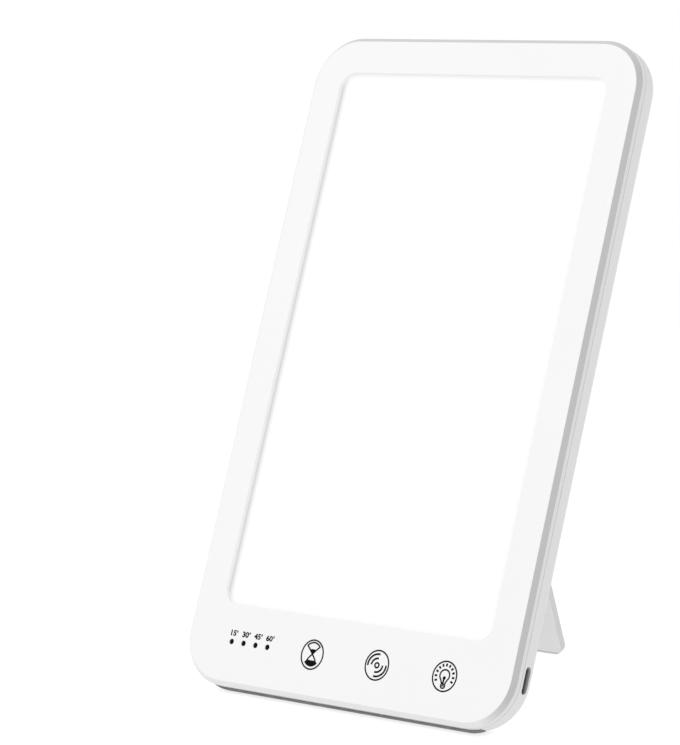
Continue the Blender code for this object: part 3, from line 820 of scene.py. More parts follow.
def smoked_lens():
    """Dark smoked polycarbonate, polished."""
    return finish(
        "smoked_lens", (0.003, 0.003, 0.003), 0.16, (0.8, 3, 0.2), (0.5, 3, 0.1, 0.2),
        [(0.2, 2, 0.001, 0.4)], sockets={"Specular IOR Level": 0.06},
    ).material


def black_plastic():
    """Glass-filled black plastic."""
    return finish(
        "port_plastic", (0.018, 0.018, 0.019), 0.45, (0.4, 4, 0.25), (0.3, 3, 0.38, 0.55),
        [(0.08, 2, 0.002, 0.5)],
    ).material


def build_bezel(settings):
    """The front frame: softened face and window edges, a satin chamfer and side wall in painted shade, a
    tongue, bosses and holes.
    """
    edge = settings.edge_softness
    materials = [
        gloss_white("bezel_gloss", settings.bezel_colour),
        chamfer_satin(settings),
        gloss_white("rim_shaded_gloss", settings.rim_colour),
    ]
    inner = TONGUE_INSET + TONGUE_THICKNESS
    tongue_end = RIM_DEPTH + TONGUE_REACH
    outside = soften([
        (EDGE_CHAMFER + SUPPORT, 0, 0),
        (EDGE_CHAMFER, 0, edge),
        (0, EDGE_CHAMFER, edge),
        (0, RIM_DEPTH, edge / 2),
        (TONGUE_INSET, RIM_DEPTH, 0),
        (TONGUE_INSET, tongue_end, edge / 2),
        (inner, tongue_end, edge / 2),
        (inner, WALL, 0),
    ])
    rib = WINDOW_REBATE + LOCATING_RIB
    window = soften([
        (rib, WALL, 0),
        (rib, panel_high.y, edge / 2),
        (WINDOW_REBATE, panel_high.y, edge / 2),
        (WINDOW_REBATE, WINDOW_LIP, 0),
        (0, WINDOW_LIP, edge / 2),
        (0, 0, edge),
        (-SUPPORT, 0, 0),
    ])
    window[-1] = (SUPPORT + edge, 0)
    rings = [at_depth(case_outline(inset), depth) for inset, depth in outside]
    rings += [at_depth(window_outline(grow), depth) for grow, depth in window]
    # The first painted range is the chamfer band, with its painted shade
    first = 1 + EDGE_STEPS // 2
    chamfer_end = first + EDGE_STEPS + 1
    # The second painted range is the frame's side wall, in its painted shade
    painted = (range(first, chamfer_end), range(chamfer_end, chamfer_end + EDGE_STEPS))
    form = ring_form(rings, closed=True, painted=painted)
    bezel = new_object("bezel_frame", form, CASE, materials)

    bosses = bmesh.new()
    for node in CASE_SCREWS + BOARD_SCREWS:
        x, z, top = screw_place(node)
        if node in CASE_SCREWS:
            top = well_floor_depth - WELL_FLOOR - SEAT
        else:
            top -= SEAT + BOARD_THICKNESS + SEAT
        profile = soften([
            (BOSS_RADIUS, WALL - BITE, 0),
            (BOSS_RADIUS, top, edge / 2),
            (SCREW_HOLE_RADIUS, top, edge / 2),
            (SCREW_HOLE_RADIUS, WALL, 0),
        ])
        add_post(bosses, x, z, profile)

    holes = bmesh.new()
    for x in timer_places:
        mouth = [(PIN_HOLE_RADIUS + grow, -depth) for grow, depth in flare(edge / 6, 0)]
        mouth.insert(0, (PIN_HOLE_RADIUS, WALL + OVERRUN))
        add_post(holes, x, key_row, mouth)
    add_block(
        holes,
        (case_half - inner - OVERRUN, shell_low.y - SEAT, shell_low.z - SEAT),
        (case_half - TONGUE_INSET + SEAT, tongue_end + OVERRUN, shell_high.z + SEAT),
    )
    shape(bezel, [("UNION", bosses), ("DIFFERENCE", holes)])
    dress(bezel, "case", ["front_bezel"])


def add_cut(form, outline, edge, floor):
    """A pocket sunk from the back, its mouth and floor softened. The outline grows by its argument."""
    rings = [(-edge, floor), (-0.3 * edge, floor + 0.3 * edge), (0, floor + edge)]
    rings += flare(edge, case_depth)
    add_rings(form, [at_depth(outline(grow), depth) for grow, depth in rings])


def foot_section(sink, proud, ends, sole_cut, softness):
    """The strip's section as (y, z): straight under the side wall, then round the back edge."""
    centre_y = case_depth - BACK_ROUNDING
    centre_z = BACK_ROUNDING
    front = centre_y - STRIP_FRONT_REACH - ends
    outer = BACK_ROUNDING + proud
    inner = BACK_ROUNDING - sink
    wrap = STRIP_WRAP + ends / BACK_ROUNDING
    angles = [wrap * step / STRIP_STEPS for step in range(STRIP_STEPS + 1)]
    if sole_cut:
        flat = math.acos((outer - sole_cut) / outer)
        angles = [angle for angle in angles if abs(angle - LEAN) > flat] + [LEAN - flat, LEAN + flat]
    points = [(front, centre_z - outer, softness)]
    for angle in sorted(angles):
        radius = softness if angle == wrap else 0
        points.append((centre_y + outer * math.sin(angle), centre_z - outer * math.cos(angle), radius))
    for step in range(STRIP_STEPS + 1):
        angle = wrap * (STRIP_STEPS - step) / STRIP_STEPS
        points.append((centre_y + inner * math.sin(angle), centre_z - inner * math.cos(angle), 0))
    points.append((front, centre_z - inner, 0))
    return soften(points)


def foot_ring(section, side, angle):
    """The strip's section at a place on its path: along the straight edge, then up round a corner."""
    ring = []
    for y, z in section:
        reach = CORNER_RADIUS - z
        x = side * (case_half - CORNER_RADIUS + reach * math.sin(angle))
        ring.append(Vector((x, y, CORNER_RADIUS - reach * math.cos(angle))))
    return ring


def build_cover(settings):
    """The rear shell: rounded back, recess with finger notches, screw wells, strip groove and port."""
    edge = settings.edge_softness
    front = RIM_DEPTH + PARTING_GAP
    section = soften([
        (COVER_ROUNDING + SUPPORT, back_inside, 0),
        (WALL, back_inside, COVER_ROUNDING - WALL),
        (WALL, front, edge / 2),
        (0, front, edge / 2),
        (0, case_depth, COVER_ROUNDING),
        (COVER_ROUNDING + SUPPORT, case_depth, 0),
    ])
    form = ring_form([at_depth(case_outline(inset), depth) for inset, depth in section])
    cover = new_object("cover_shell", form, CASE, [
        satin_white("cover_satin", settings.cover_colour).material, port_lining(settings)
    ])

    root = back_inside + BITE
    wall = recess_outline(RECESS_WALL)
    pocket = ring_form([at_depth(wall, recess_wall_front), at_depth(wall, root)])
    notch_walls = bmesh.new()
    for sign in (-1, 1):
        profile = [(NOTCH_RADIUS + RECESS_WALL, recess_wall_front), (NOTCH_RADIUS + RECESS_WALL, root)]
        add_post(notch_walls, sign * recess_half, NOTCH_HEIGHT, profile)
    posts = bmesh.new()
    for node in CASE_SCREWS:
        x, z, _ = screw_place(node)
        profile = [(WELL_RADIUS + WELL_WALL, well_floor_depth - WELL_FLOOR), (WELL_RADIUS + WELL_WALL, root)]
        add_post(posts, x, z, profile)
    for sign in (-1, 1):
        near, far = sorted((
            sign * (recess_half + BITE), sign * (recess_half + PIN_SEAT_LENGTH + RECESS_WALL)
        ))
        low, high = HINGE.z - HINGE_BLOCK_RADIUS, HINGE.z + HINGE_BLOCK_RADIUS
        add_block(posts, (near, recess_wall_front + BITE, low), (far, root, high))

    cuts = bmesh.new()
    add_cut(cuts, recess_outline, edge, recess_floor)
    for node in CASE_SCREWS:
        x, z, _ = screw_place(node)
        start = well_floor_depth - WELL_FLOOR - OVERRUN
        profile = [(SCREW_HOLE_RADIUS, start), (SCREW_HOLE_RADIUS, well_floor_depth)]
        profile.append((WELL_RADIUS, well_floor_depth))
        profile += [(WELL_RADIUS + grow, depth) for grow, depth in flare(edge, case_depth)]
        add_post(cuts, x, z, profile)
    groove = foot_section(STRIP_SINK + SEAT, OVERRUN, SEAT, 0, 0)
    turn = STRIP_CORNER_TURN + SEAT / CORNER_RADIUS
    turns = [turn * step / STRIP_CORNER_STEPS for step in range(STRIP_CORNER_STEPS + 1)]
    rings = [foot_ring(groove, -1, angle) for angle in reversed(turns)]
    add_rings(cuts, rings + [foot_ring(groove, 1, angle) for angle in turns])
    mouth = [(0, case_half - WALL - OVERRUN)] + flare(edge * PORT_EDGE_SHARE, case_half)
    # The mouth's cut walls take the cover's second material, the port mouth's painted shade
    add_rings(cuts, [
        across(
            slot_outline(PORT_MOUTH_LENGTH + 2 * grow, PORT_MOUTH_WIDTH + 2 * grow),
            x, port_middle.y, port_middle.z,
        )
        for grow, x in mouth
    ], painted=(range(len(mouth)),))
    grips = bmesh.new()
    pocket_end = shell_high.x + SEAT
    pocket_start = pocket_end - 2 * SEAT - OVERRUN
    pocket_rim = slot_outline(shell_high.z - shell_low.z + 2 * SEAT, shell_high.y - shell_low.y + 2 * SEAT)
    add_rings(grips, [
        across(pocket_rim, x, port_middle.y, port_middle.z) for x in (pocket_start, pocket_end)
    ])
    for sign in (-1, 1):
        profile = [(NOTCH_RADIUS - edge, recess_floor + SEAT), (NOTCH_RADIUS, recess_floor + SEAT + edge)]
        profile += [(NOTCH_RADIUS + grow, depth) for grow, depth in flare(edge, case_depth)]
        add_post(grips, sign * recess_half, NOTCH_HEIGHT, profile)
    reach = recess_half + PIN_SEAT_LENGTH
    add_turned(grips, HINGE, (1, 0, 0), [(BORE_RADIUS, -reach), (BORE_RADIUS, reach)])
    shape(cover, [
        ("UNION", pocket), ("UNION", notch_walls), ("UNION", posts),
        ("DIFFERENCE", cuts), ("DIFFERENCE", grips),
    ])
    dress(cover, "case", ["rear_cover"])


def build_window(settings):
    """The opal panel, its front edge eased."""
    section = soften([
        (-SUPPORT - PANEL_EDGE, panel_low.y, 0),
        (0, panel_low.y, PANEL_EDGE),
        (0, panel_high.y, PANEL_EDGE),
        (-SUPPORT - PANEL_EDGE, panel_high.y, 0),
    ])
    grown = WINDOW_REBATE - SEAT
    form = ring_form([at_depth(window_outline(grown + shift), depth) for shift, depth in section])
    window = new_object("opal_window", form, CASE, [opal_panel(settings)])
    dress(window, "case", ["diffuser_panel"])


def build_timer_lenses():
    """The comb of four dark lenses: its bar behind the face and the domed pins that reach through."""
    front = WALL + SEAT
    form = bmesh.new()
    add_block(form, (pipe_low.x, front, pipe_low.z), (pipe_high.x, pipe_high.y, pipe_high.z))
    lenses = new_object("timer_lenses", form, CASE, [smoked_lens()])
    pins = bmesh.new()
    for x in timer_places:
        profile = [(PIN_RADIUS, front + BITE), (PIN_RADIUS, pipe_low.y + PIN_DOME)]
        for step in range(1, DOME_STEPS):
            angle = math.pi / 2 * step / DOME_STEPS
            rise = PIN_DOME * math.sin(angle)
            profile.append((PIN_RADIUS * math.cos(angle), pipe_low.y + PIN_DOME - rise))
        add_post(pins, x, key_row, profile)
    shape(lenses, [("UNION", pins)])
    dress(lenses, "case", ["timer_light_pipe"])


def build_port():
    """The socket: its drawn metal sleeve with rolled mouth, and the blade with its gold contacts."""
    length = shell_high.z - shell_low.z
    width = shell_high.y - shell_low.y
    inner = PORT_WALL
    rolled = PORT_WALL * PORT_ROLL_SHARE
    section = soften([
        (inner + SUPPORT, shell_low.x + PORT_BACK, 0),
        (inner, shell_low.x + PORT_BACK, rolled),
        (inner, shell_high.x, rolled),
        (0, shell_high.x, rolled),
        (0, shell_low.x, rolled),
        (SUPPORT, shell_low.x, 0),
    ])
    form = ring_form([
        across(slot_outline(length - 2 * inset, width - 2 * inset), x, port_middle.y, port_middle.z)
        for inset, x in section
    ])
    # Painted shade: the sleeve's steel is darkened for the shade deep in the socket
    sleeve = new_object("port_sleeve", form, CASE, [
        drawn_metal("port_steel", (0.14, 0.14, 0.15), 0.32, (0.05, 1, 1), 0.2 * MM)
    ])
    dress(sleeve, "case", ["usb_c_shell"])

    low, high = box_in("usb_c_tongue", CASE)
    middle = (low + high) / 2
    half = (high - low) / 2
    tip = half.y
    rings = []
    for x, shrink in [(low.x, 0)] + [(high.x - back * tip, thin * tip) for back, thin in BLADE_TIP_SHARES]:
        ring = rounded(
            shrink - half.y, half.y - shrink, shrink - half.z, half.z - shrink,
            tip / 3, tip / 3, EDGE_STEPS,
        )
        rings.append(across(ring, x, middle.y, middle.z))
    form = ring_form(rings)
    for face in (-1, 1):
        rises = (-CONTACT_RISE, CONTACT_RISE)
        depths = sorted(middle.y + face * (half.y + rise) for rise in rises)
        for place in range(CONTACT_COUNT):
            z = middle.z + (place - (CONTACT_COUNT - 1) / 2) * CONTACT_PITCH
            end = high.x - 2 * tip
            near = len(form.faces)
            add_block(
                form,
                (end - CONTACT_LENGTH, depths[0], z - CONTACT_WIDTH / 2),
                (end, depths[1], z + CONTACT_WIDTH / 2),
            )
            form.faces.ensure_lookup_table()
            for contact in form.faces[near:]:
                contact.material_index = 1
    blade = new_object("port_blade", form, CASE, [
        black_plastic(), drawn_metal("contact_gold", (0.90, 0.68, 0.30), 0.25, (0.1, 1, 1), 0.15 * MM)
    ])
    dress(blade, "case", ["usb_c_tongue"])


def build_foot_strip(settings):
    """The rubber strip. Its edges are softened, and it thins out where it turns up at the corners."""
    rings = []
    for side in (-1, 1):
        half = []
        for shrink, shift in STRIP_END:
            proud = STRIP_PROUD - STRIP_TAPER - shrink
            section = foot_section(STRIP_SINK, proud, -shrink, STRIP_SOLE_CUT, STRIP_SOFTNESS)
            half.append(foot_ring(section, side, STRIP_CORNER_TURN - shift / CORNER_RADIUS))
        for step in range(STRIP_CORNER_STEPS - 1, -1, -1):
            share = step / STRIP_CORNER_STEPS
            proud = STRIP_PROUD - STRIP_TAPER * share
            section = foot_section(STRIP_SINK, proud, 0, STRIP_SOLE_CUT, STRIP_SOFTNESS)
            half.append(foot_ring(section, side, STRIP_CORNER_TURN * share))
        rings += half if side < 0 else list(reversed(half))
    rubber = soft_rubber("strip_rubber", settings.strip_colour, CASE)
    strip = new_object("grip_strip", ring_form(rings), CASE, [rubber])
    dress(strip, "case", ["foot_strip"])


def build_stand(settings):
    """The fold-out leg with its barrel and its heel, and the rubber sole in its lower edge."""
    edge = settings.stand_edge
    half = plate_high.x
    thick = STAND_THICKNESS / 2
    top = -barrel_radius - STAND_SHOULDER
    section = soften([
        (SUPPORT + edge, -thick, 0), (0, -thick, edge), (0, thick, edge), (SUPPORT + edge, thick, 0)
    ])
    rings = []
    for inset, depth in section:
        outline = rounded(
            inset - half, half - inset, plate_low.z + inset, top - inset,
            STAND_CORNER - inset, STAND_SHOULDER,
        )
        rings.append(at_depth(outline, depth))
    leg = new_object("stand_leg", ring_form(rings), STAND, [stand_satin(settings)])

    neck = bmesh.new()
    width = barrel_half - BITE
    add_block(neck, (-width, edge - thick, top - STAND_CORNER), (width, thick - edge, 0))
    barrel = bmesh.new()
    profile = soften([
        (BORE_RADIUS / 2, -barrel_half, 0), (barrel_radius, -barrel_half, BARREL_EDGE),
        (barrel_radius, barrel_half, BARREL_EDGE), (BORE_RADIUS / 2, barrel_half, 0),
    ])
    add_turned(barrel, (0, 0, 0), (1, 0, 0), profile)
    profile = soften([
        (0, 0, 0), (thick, 0, 0), (thick, plate_high.z, BARREL_EDGE), (0, plate_high.z, BARREL_EDGE)
    ])
    heel = ring_form([across(profile, -width), across(profile, width)])

    cuts = bmesh.new()
    reach = half + OVERRUN
    add_turned(cuts, (0, 0, 0), (1, 0, 0), [(BORE_RADIUS, -reach), (BORE_RADIUS, reach)])
    groove_half = SOLE_WIDTH / 2 + SEAT
    roof = plate_low.z + SOLE_SINK + SEAT
    bottom = plate_low.z - OVERRUN
    groove = [(-groove_half, bottom), (groove_half, bottom), (groove_half, roof), (-groove_half, roof)]
    add_rings(cuts, [across(groove, sole_low.x - SEAT), across(groove, sole_high.x + SEAT)])
    shape(leg, [("UNION", neck), ("UNION", barrel), ("UNION", heel), ("DIFFERENCE", cuts)])
    dress(leg, "stand", ["stand_plate"])

    slope = math.tan(-math.radians(frame["joints"][0]["range_deg"][0]) - LEAN)
    deep = plate_low.z - SOLE_PROUD
    width = SOLE_WIDTH / 2
    rings = []
    for side in (-1, 1):
        ends = []
        for shrink, shift in STRIP_END:
            inset = width - shrink
            profile = soften([
                (-inset, deep + inset * slope + shrink, SOLE_SOFTNESS),
                (inset, deep - inset * slope + shrink, SOLE_SOFTNESS),
                (inset, plate_low.z + SOLE_SINK - shrink, SOLE_SOFTNESS),
                (-inset, plate_low.z + SOLE_SINK - shrink, SOLE_SOFTNESS),
            ])
            ends.append(across(profile, side * (sole_high.x - shift)))
        rings += ends if side < 0 else list(reversed(ends))
    rubber = soft_rubber("sole_rubber", settings.pad_colour, STAND)
    sole = new_object("stand_sole", ring_form(rings), STAND, [rubber])
    dress(sole, "stand", ["stand_foot_pad"])


def build_screws():
    """Pan-head screws with domed heads, tapered cross recesses and ridged shanks."""
    steel = drawn_metal("screw_steel", (0.58, 0.58, 0.60), 0.24, (1, 0.1, 1), 0.3 * MM)
    for node in CASE_SCREWS + BOARD_SCREWS:
        low, high = box_in(node, CASE)
        x, z, seat_depth = screw_place(node)
        radius = high.x - x
        rounding = (high.y - seat_depth) / 3
        profile = [(SCREW_TIP_SHARE * SCREW_SHANK_RADIUS, low.y)]
        ridges = int((seat_depth - low.y) / THREAD_PITCH) - 1
        for ridge in range(ridges):
            depth = low.y + THREAD_PITCH * (ridge + 0.5)
            profile += [(THREAD_ROOT, depth), (SCREW_SHANK_RADIUS, depth + THREAD_PITCH / 2)]
        profile += [(THREAD_ROOT, seat_depth - THREAD_PITCH / 2), (THREAD_ROOT, seat_depth)]
        profile += [(radius - HEAD_EDGE / 3, seat_depth), (radius, seat_depth + HEAD_EDGE / 3)]
        for step in range(DOME_STEPS + 1):
            angle = math.pi / 2 * step / DOME_STEPS
            spread = radius - rounding * (1 - math.cos(angle))
            profile.append((spread, high.y - rounding * (1 - math.sin(angle)) - HEAD_DOME))
        profile.append((HEAD_CROWN_SHARE * radius, high.y - HEAD_DOME / 3))
        profile.append((HEAD_FLAT_SHARE * radius, high.y))
        form = bmesh.new()
        add_post(form, x, z, profile)
        item = new_object(node.replace("screw", "fixing"), form, CASE, [steel])
        drive = []
        sizes = ((DRIVE_TAPER_SHARE, high.y - DRIVE_DEPTH), (1, high.y), (1, high.y + OVERRUN))
        for long_x, long_z in ((1, 0), (0, 1)):
            half_x = (DRIVE_LENGTH if long_x else DRIVE_WIDTH) / 2
            half_z = (DRIVE_LENGTH if long_z else DRIVE_WIDTH) / 2
            rings = []
            for share, depth in sizes:
                run_x = half_x * (share if long_x else 1)
                run_z = half_z * (share if long_z else 1)
                ring = [(-run_x, -run_z), (run_x, -run_z), (run_x, run_z), (-run_x, run_z)]
                rings.append(at_depth([(x + a, z + b) for a, b in ring], depth))
            drive.append(("DIFFERENCE", ring_form(rings)))
        shape(item, drive)
        dress(item, "case", [node])


def add_ribbon(form, points, width, lift=0, closed=False):
    """A printed line along (x, z) points. Lines that cross lie one above the other by their lift."""
    top = -INK_THICKNESS - lift * INK_STEP
    rings = []
    for i, point in enumerate(points):
        before = points[i - 1] if closed or i else point
        after = points[(i + 1) % len(points)] if closed or i < len(points) - 1 else point
        run = (Vector(after) - Vector(before)).normalized() * width / 2
        left = Vector(point) + Vector((-run.y, run.x))
        right = Vector(point) - Vector((-run.y, run.x))
        rings.append([
            Vector((left.x, top, left.y)), Vector((right.x, top, right.y)),
            Vector((right.x, INK_SINK, right.y)), Vector((left.x, INK_SINK, left.y)),
        ])
    add_rings(form, rings, closed)


def add_patch(form, outline, lift=0):
    """A filled printed shape."""
    add_rings(form, [at_depth(outline, INK_SINK), at_depth(outline, -INK_THICKNESS - lift * INK_STEP)])


def arc(x_radius, z_radius, start=0, end=360, centre=(0, 0)):
    """Points of an elliptic arc from one angle to another, in degrees. A whole turn isn't closed."""
    steps = max(8, round(abs(end - start) / ARC_STEP_DEGREES))
    count = steps if abs(end - start) == 360 else steps + 1
    angles = [math.radians(start + (end - start) * step / steps) for step in range(count)]
    return [(centre[0] + x_radius * math.cos(a), centre[1] + z_radius * math.sin(a)) for a in angles]


def in_mm(*points):
    return [(x * MM, z * MM) for x, z in points]


def add_hourglass(form, width):
    """The timer's sign."""
    add_ribbon(form, arc(4.5 * MM, SIGN_HALF_HEIGHT), width, closed=True)
    top = in_mm((-2.67, 2.8), (-2.05, 3.42), (-1.25, 3.87), (-0.6, 4.09), (0, 4.15))
    add_ribbon(form, top + [(-x, z) for x, z in reversed(top[:-1])], width, 1)
    for lift, side in ((2, -1), (3, 1)):
        upper = in_mm((side * 2.67, 2.95), (side * 1.6, 1.95), (side * 0.35, 0.55), (0, 0.15))
        add_ribbon(form, upper, width, lift)
        lower = in_mm((0, 0.15), (side * 0.7, -0.55), (side * 1.35, -1.35), (side * 1.8, -2.05))
        add_ribbon(form, lower, width, lift + 2)
    sand = in_mm((-1.15, 1.72), (-0.6, 1.86), (0, 1.9), (0.6, 1.86), (1.15, 1.72), (0, 0.2))
    add_patch(form, sand, 6)
    mound = in_mm(
        (-1.85, -2.0), (-1.0, -1.85), (-0.3, -1.98), (0.4, -1.86), (1.0, -1.95), (1.85, -2.0),
        (2.3, -2.35), (2.7, -2.8), (2.0, -3.45), (1.05, -3.95), (0, -4.12),
        (-1.05, -3.95), (-2.0, -3.45), (-2.7, -2.8), (-2.3, -2.35),
    )
    add_patch(form, mound, 7)


def add_ripples(form, width):
    """The programme sign: broken rings round a small ring."""
    add_ribbon(form, arc(SIGN_HALF_WIDTH, SIGN_HALF_HEIGHT), width, closed=True)
    add_ribbon(form, arc(0.82 * MM, 0.82 * MM), width * 1.1, closed=True)
    for radius, spans in ((2.3, ((85, 180), (5, -103))), (3.75, ((82, 187), (6, -100)))):
        for start, end in spans:
            add_ribbon(form, arc(radius * MM, radius * MM, start, end), width * 1.25)


def add_bulb(form, width):
    """The brightness sign: a bulb with rays."""
    add_ribbon(form, arc(SIGN_HALF_WIDTH, SIGN_HALF_HEIGHT), width, closed=True)
    glass = arc(1.9 * MM, 1.9 * MM, 227, -47, (0, 0.3 * MM))
    neck = in_mm((0.95, -1.75), (0.67, -2.4))
    outline = [(-x, z) for x, z in reversed(neck)] + glass + neck
    add_ribbon(form, outline, width, 1)
    base = in_mm(
        (-0.8, -2.6), (0.8, -2.6), (0.8, -3.45), (0.55, -3.8), (0, -3.95), (-0.55, -3.8), (-0.8, -3.45)
    )
    add_ribbon(form, base, width, 2, closed=True)
    add_ribbon(form, in_mm((-0.8, -3.15), (0.8, -3.15)), width * 0.8, 3)
    add_patch(form, arc(0.6 * MM, 0.6 * MM, centre=(0, -0.53 * MM)), 4)
    add_ribbon(form, in_mm((0, -0.53), (-0.08, -1.4), (-0.2, -2.5)), width * 1.2, 5)
    for ray in range(RAY_COUNT):
        angle = math.radians(RAY_START_DEGREES + RAY_TURN_DEGREES * ray)
        spoke = Vector((3.45 * MM * math.cos(angle), 3.8 * MM * math.sin(angle)))
        run = spoke.normalized() * RAY_HALF_LENGTH
        add_ribbon(form, [tuple(spoke - run), tuple(spoke + run)], width * 1.3)


def build_signs(settings):
    """The three touch signs and the minute numbers, printed on the face."""
    ink = printed_ink(settings.ink_colour)
    for name, pad, draw in (
        ("sign_timer", "touch_pad_timer", add_hourglass),
        ("sign_program", "touch_pad_program", add_ripples),
        ("sign_brightness", "touch_pad_brightness", add_bulb),
    ):
        low, high = box_in(pad, CASE)
        form = bmesh.new()
        draw(form, settings.line_width)
        place = Matrix.Translation(((low.x + high.x) / 2, 0, (low.z + high.z) / 2))
        dress(new_object(name, form, CASE @ place, [ink]), "case", [])
    form = bmesh.new()
    for x, minutes in zip(timer_places, MINUTES):
        rise = key_row + LABEL_RISE
        right = add_label(form, str(minutes), settings.label_height, x + LABEL_SHIFT, rise)
        top = rise + settings.label_height / 2
        mark = [(right + MARK_GAP, top), (right + MARK_GAP - MARK_SLANT, top - MARK_HEIGHT)]
        add_ribbon(form, mark, MARK_WIDTH)
    dress(new_object("minute_labels", form, CASE, [ink]), "case", [])


def add_label(form, text, height, x, z):
    """Letters as thin plates, centred on (x, z). Gives the x of their right edge."""
    curve = bpy.data.curves.new("label", "FONT")
    curve.body = text
    curve.offset = LABEL_WEIGHT
    curve.resolution_u = LABEL_STEPS
    curve.extrude = LABEL_HALF_DEPTH
    item = add_to_scene("label", curve)
    mesh = baked_mesh(item)
    bpy.data.objects.remove(item)
    bpy.data.curves.remove(curve)
    points = [vertex.co.copy() for vertex in mesh.vertices]
    left, right = min(p.x for p in points), max(p.x for p in points)
    low, high = min(p.y for p in points), max(p.y for p in points)
    scale = height / (high - low)
    for vertex, point in zip(mesh.vertices, points):
        depth = INK_SINK if point.z < 0 else -INK_THICKNESS
        vertex.co = (
            x + (point.x - (left + right) / 2) * scale * LABEL_STRETCH,
            depth,
            z + (point.y - (low + high) / 2) * scale,
        )
    form.from_mesh(mesh)
    bpy.data.meshes.remove(mesh)
    return x + (right - left) / 2 * scale * LABEL_STRETCH


def repaint(node, material):
    """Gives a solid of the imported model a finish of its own."""
    item = frame["nodes"][node]
    item.data.materials.clear()
    item.data.materials.append(material)
    smooth(item)


def build_light_stack():
    """The layers behind the window, the light strips and their leads."""
    film = finish("diffusing_film", (0.90, 0.91, 0.92), 0.5, (4, 4, 0.01), bumps=[(0.12, None, 0.004, 0.5)])
    repaint("diffuser_film", film.material)

    sheet = finish(
        "reflector_film", (0.93, 0.93, 0.93), 0.35, (7, 3, 0.01), (2, 2, 0.28, 0.42), [(0.6, 4, 0.004, 0.4)]
    )
    repaint("reflector_sheet", sheet.material)

    guide = Surface("guide_acrylic", (0.90, 0.95, 0.97), 0.06)
    guide.set("Transmission Weight", 0.9)
    guide.set("IOR", 1.49)
    dots = guide.spread(guide.cells(1.6 * MM, 0.0), 1, 0, 0.3, 0.36)
    guide.set("Roughness", guide.spread(dots, 0.05, 0.6, 0, 1))
    guide.bump(dots, 0.01 * MM, 0.6)
    repaint("light_guide_plate", guide.material)

    tray = drawn_metal("tray_aluminium", (0.74, 0.75, 0.76), 0.34, (1, 1, 0.02), 0.25 * MM)
    repaint("heat_spreader_tray", tray)

    for side, sign in (("left", -1), ("right", 1)):
        low, high = box_in("led_strip_" + side, CASE)
        root = (high.x if sign > 0 else -low.x) - STRIP_THICKNESS
        front = root - LED_HEIGHT
        bumps = [(0.3, 3, 0.004, 0.5)]
        strip = finish("led_strip_" + side + "_mask", STRIP_MASK, 0.35, None, (1, 3, 0.28, 0.45), bumps)
        out = strip.math("ABSOLUTE", strip.split("X"))
        package = strip.spread(out, 1, 0, root - PAINT_STEP / 2, root + PAINT_STEP / 2)
        phosphor = strip.spread(out, 1, 0, front + PAINT_STEP, front + 3 * PAINT_STEP)
        strip.set("Base Color", strip.blend(package, STRIP_MASK, (0.80, 0.80, 0.78)))
        strip.recolour(phosphor, (0.85, 0.68, 0.12))
        repaint("led_strip_" + side, strip.material)

        lead = finish("flat_lead_" + side, LEAD_FILM, 0.38, None, (0.8, 3, 0.3, 0.46))
        tracks = lead.spread(lead.bands(LEAD_TRACK_PITCH), 0, 1, 0.45, 0.6)
        lead.set("Base Color", lead.blend(tracks, LEAD_FILM, (0.80, 0.47, 0.20)))
        lead.bump(tracks, 0.01 * MM, 0.5)
        repaint("led_lead_" + side, lead.material)


def build_board():
    """The control board with its parts, and the three sensor pads."""
    screw_seat = box_in("board_screw_left", CASE)[1].y - BOARD_SCREW_HEAD
    back = screw_seat - SEAT
    front = back - BOARD_THICKNESS
    board = finish("board_mask", (0.02, 0.16, 0.07), 0.32, None, (0.7, 3, 0.26, 0.45))
    tracks = board.spread(board.cells(1.7 * MM, 0.6), 0, 1, 0.12, 0.16)
    depth = board.split("Y")
    behind = board.spread(depth, 0, 1, back + PAINT_STEP, back + 2 * PAINT_STEP)
    ahead = board.spread(depth, 1, 0, front - 2 * PAINT_STEP, front - PAINT_STEP)
    board.set("Base Color", board.blend(tracks, (0.05, 0.26, 0.12), (0.02, 0.15, 0.065)))
    board.recolour(behind, (0.03, 0.03, 0.032))
    board.recolour(ahead, (0.78, 0.78, 0.74))
    board.bump(tracks, 0.008 * MM, 0.5)
    repaint("control_board", board.material)

    bumps = [(0.28, None, 0.06, 0.9)]
    foam = finish("sensor_foam", (0.12, 0.12, 0.125), 0.9, (1.5, 4, 0.2), (0.8, 2, 0.82, 0.96), bumps)
    for pad in ("touch_pad_timer", "touch_pad_program", "touch_pad_brightness"):
        repaint(pad, foam.material)


def build_hinge():
    """The ground steel pin and its two nylon washers."""
    pin = drawn_metal("pin_steel", (0.62, 0.62, 0.64), 0.2, (0.04, 1, 1), 0.2 * MM)
    repaint("hinge_pin", pin)
    nylon = finish(
        "washer_nylon", (0.80, 0.78, 0.72), 0.48, (1, 3, 0.03), (0.6, 2, 0.4, 0.56), [(0.2, 2, 0.004, 0.5)],
        sockets={"Subsurface Weight": 0.1, "Subsurface Scale": 1 * MM},
    )
    for side in ("left", "right"):
        repaint("hinge_washer_" + side, nylon.material)


def add_lamp(name, place, power, size):
    """A soft square lamp that faces the case and has no mirror image in it."""
    data = bpy.data.lights.new(name, "AREA")
    data.energy = power
    data.size = size
    item = add_to_scene(name, data)
    item.location = place
    item.rotation_mode = "QUATERNION"
    item.rotation_quaternion = (Vector(VIEW_AIM) - Vector(place)).to_track_quat("-Z", "Y")
    item.visible_glossy = False


def seen_rays(tree):
    """1 for rays from the camera, from a mirror or through glass, and 0 for diffuse ones."""
    path = tree.nodes.new("ShaderNodeLightPath")
    result = path.outputs["Is Camera Ray"]
    for kind in ("Is Glossy Ray", "Is Transmission Ray"):
        result = add_node(tree, "Math", {0: result, 1: path.outputs[kind]}, operation="MAXIMUM")
    return result


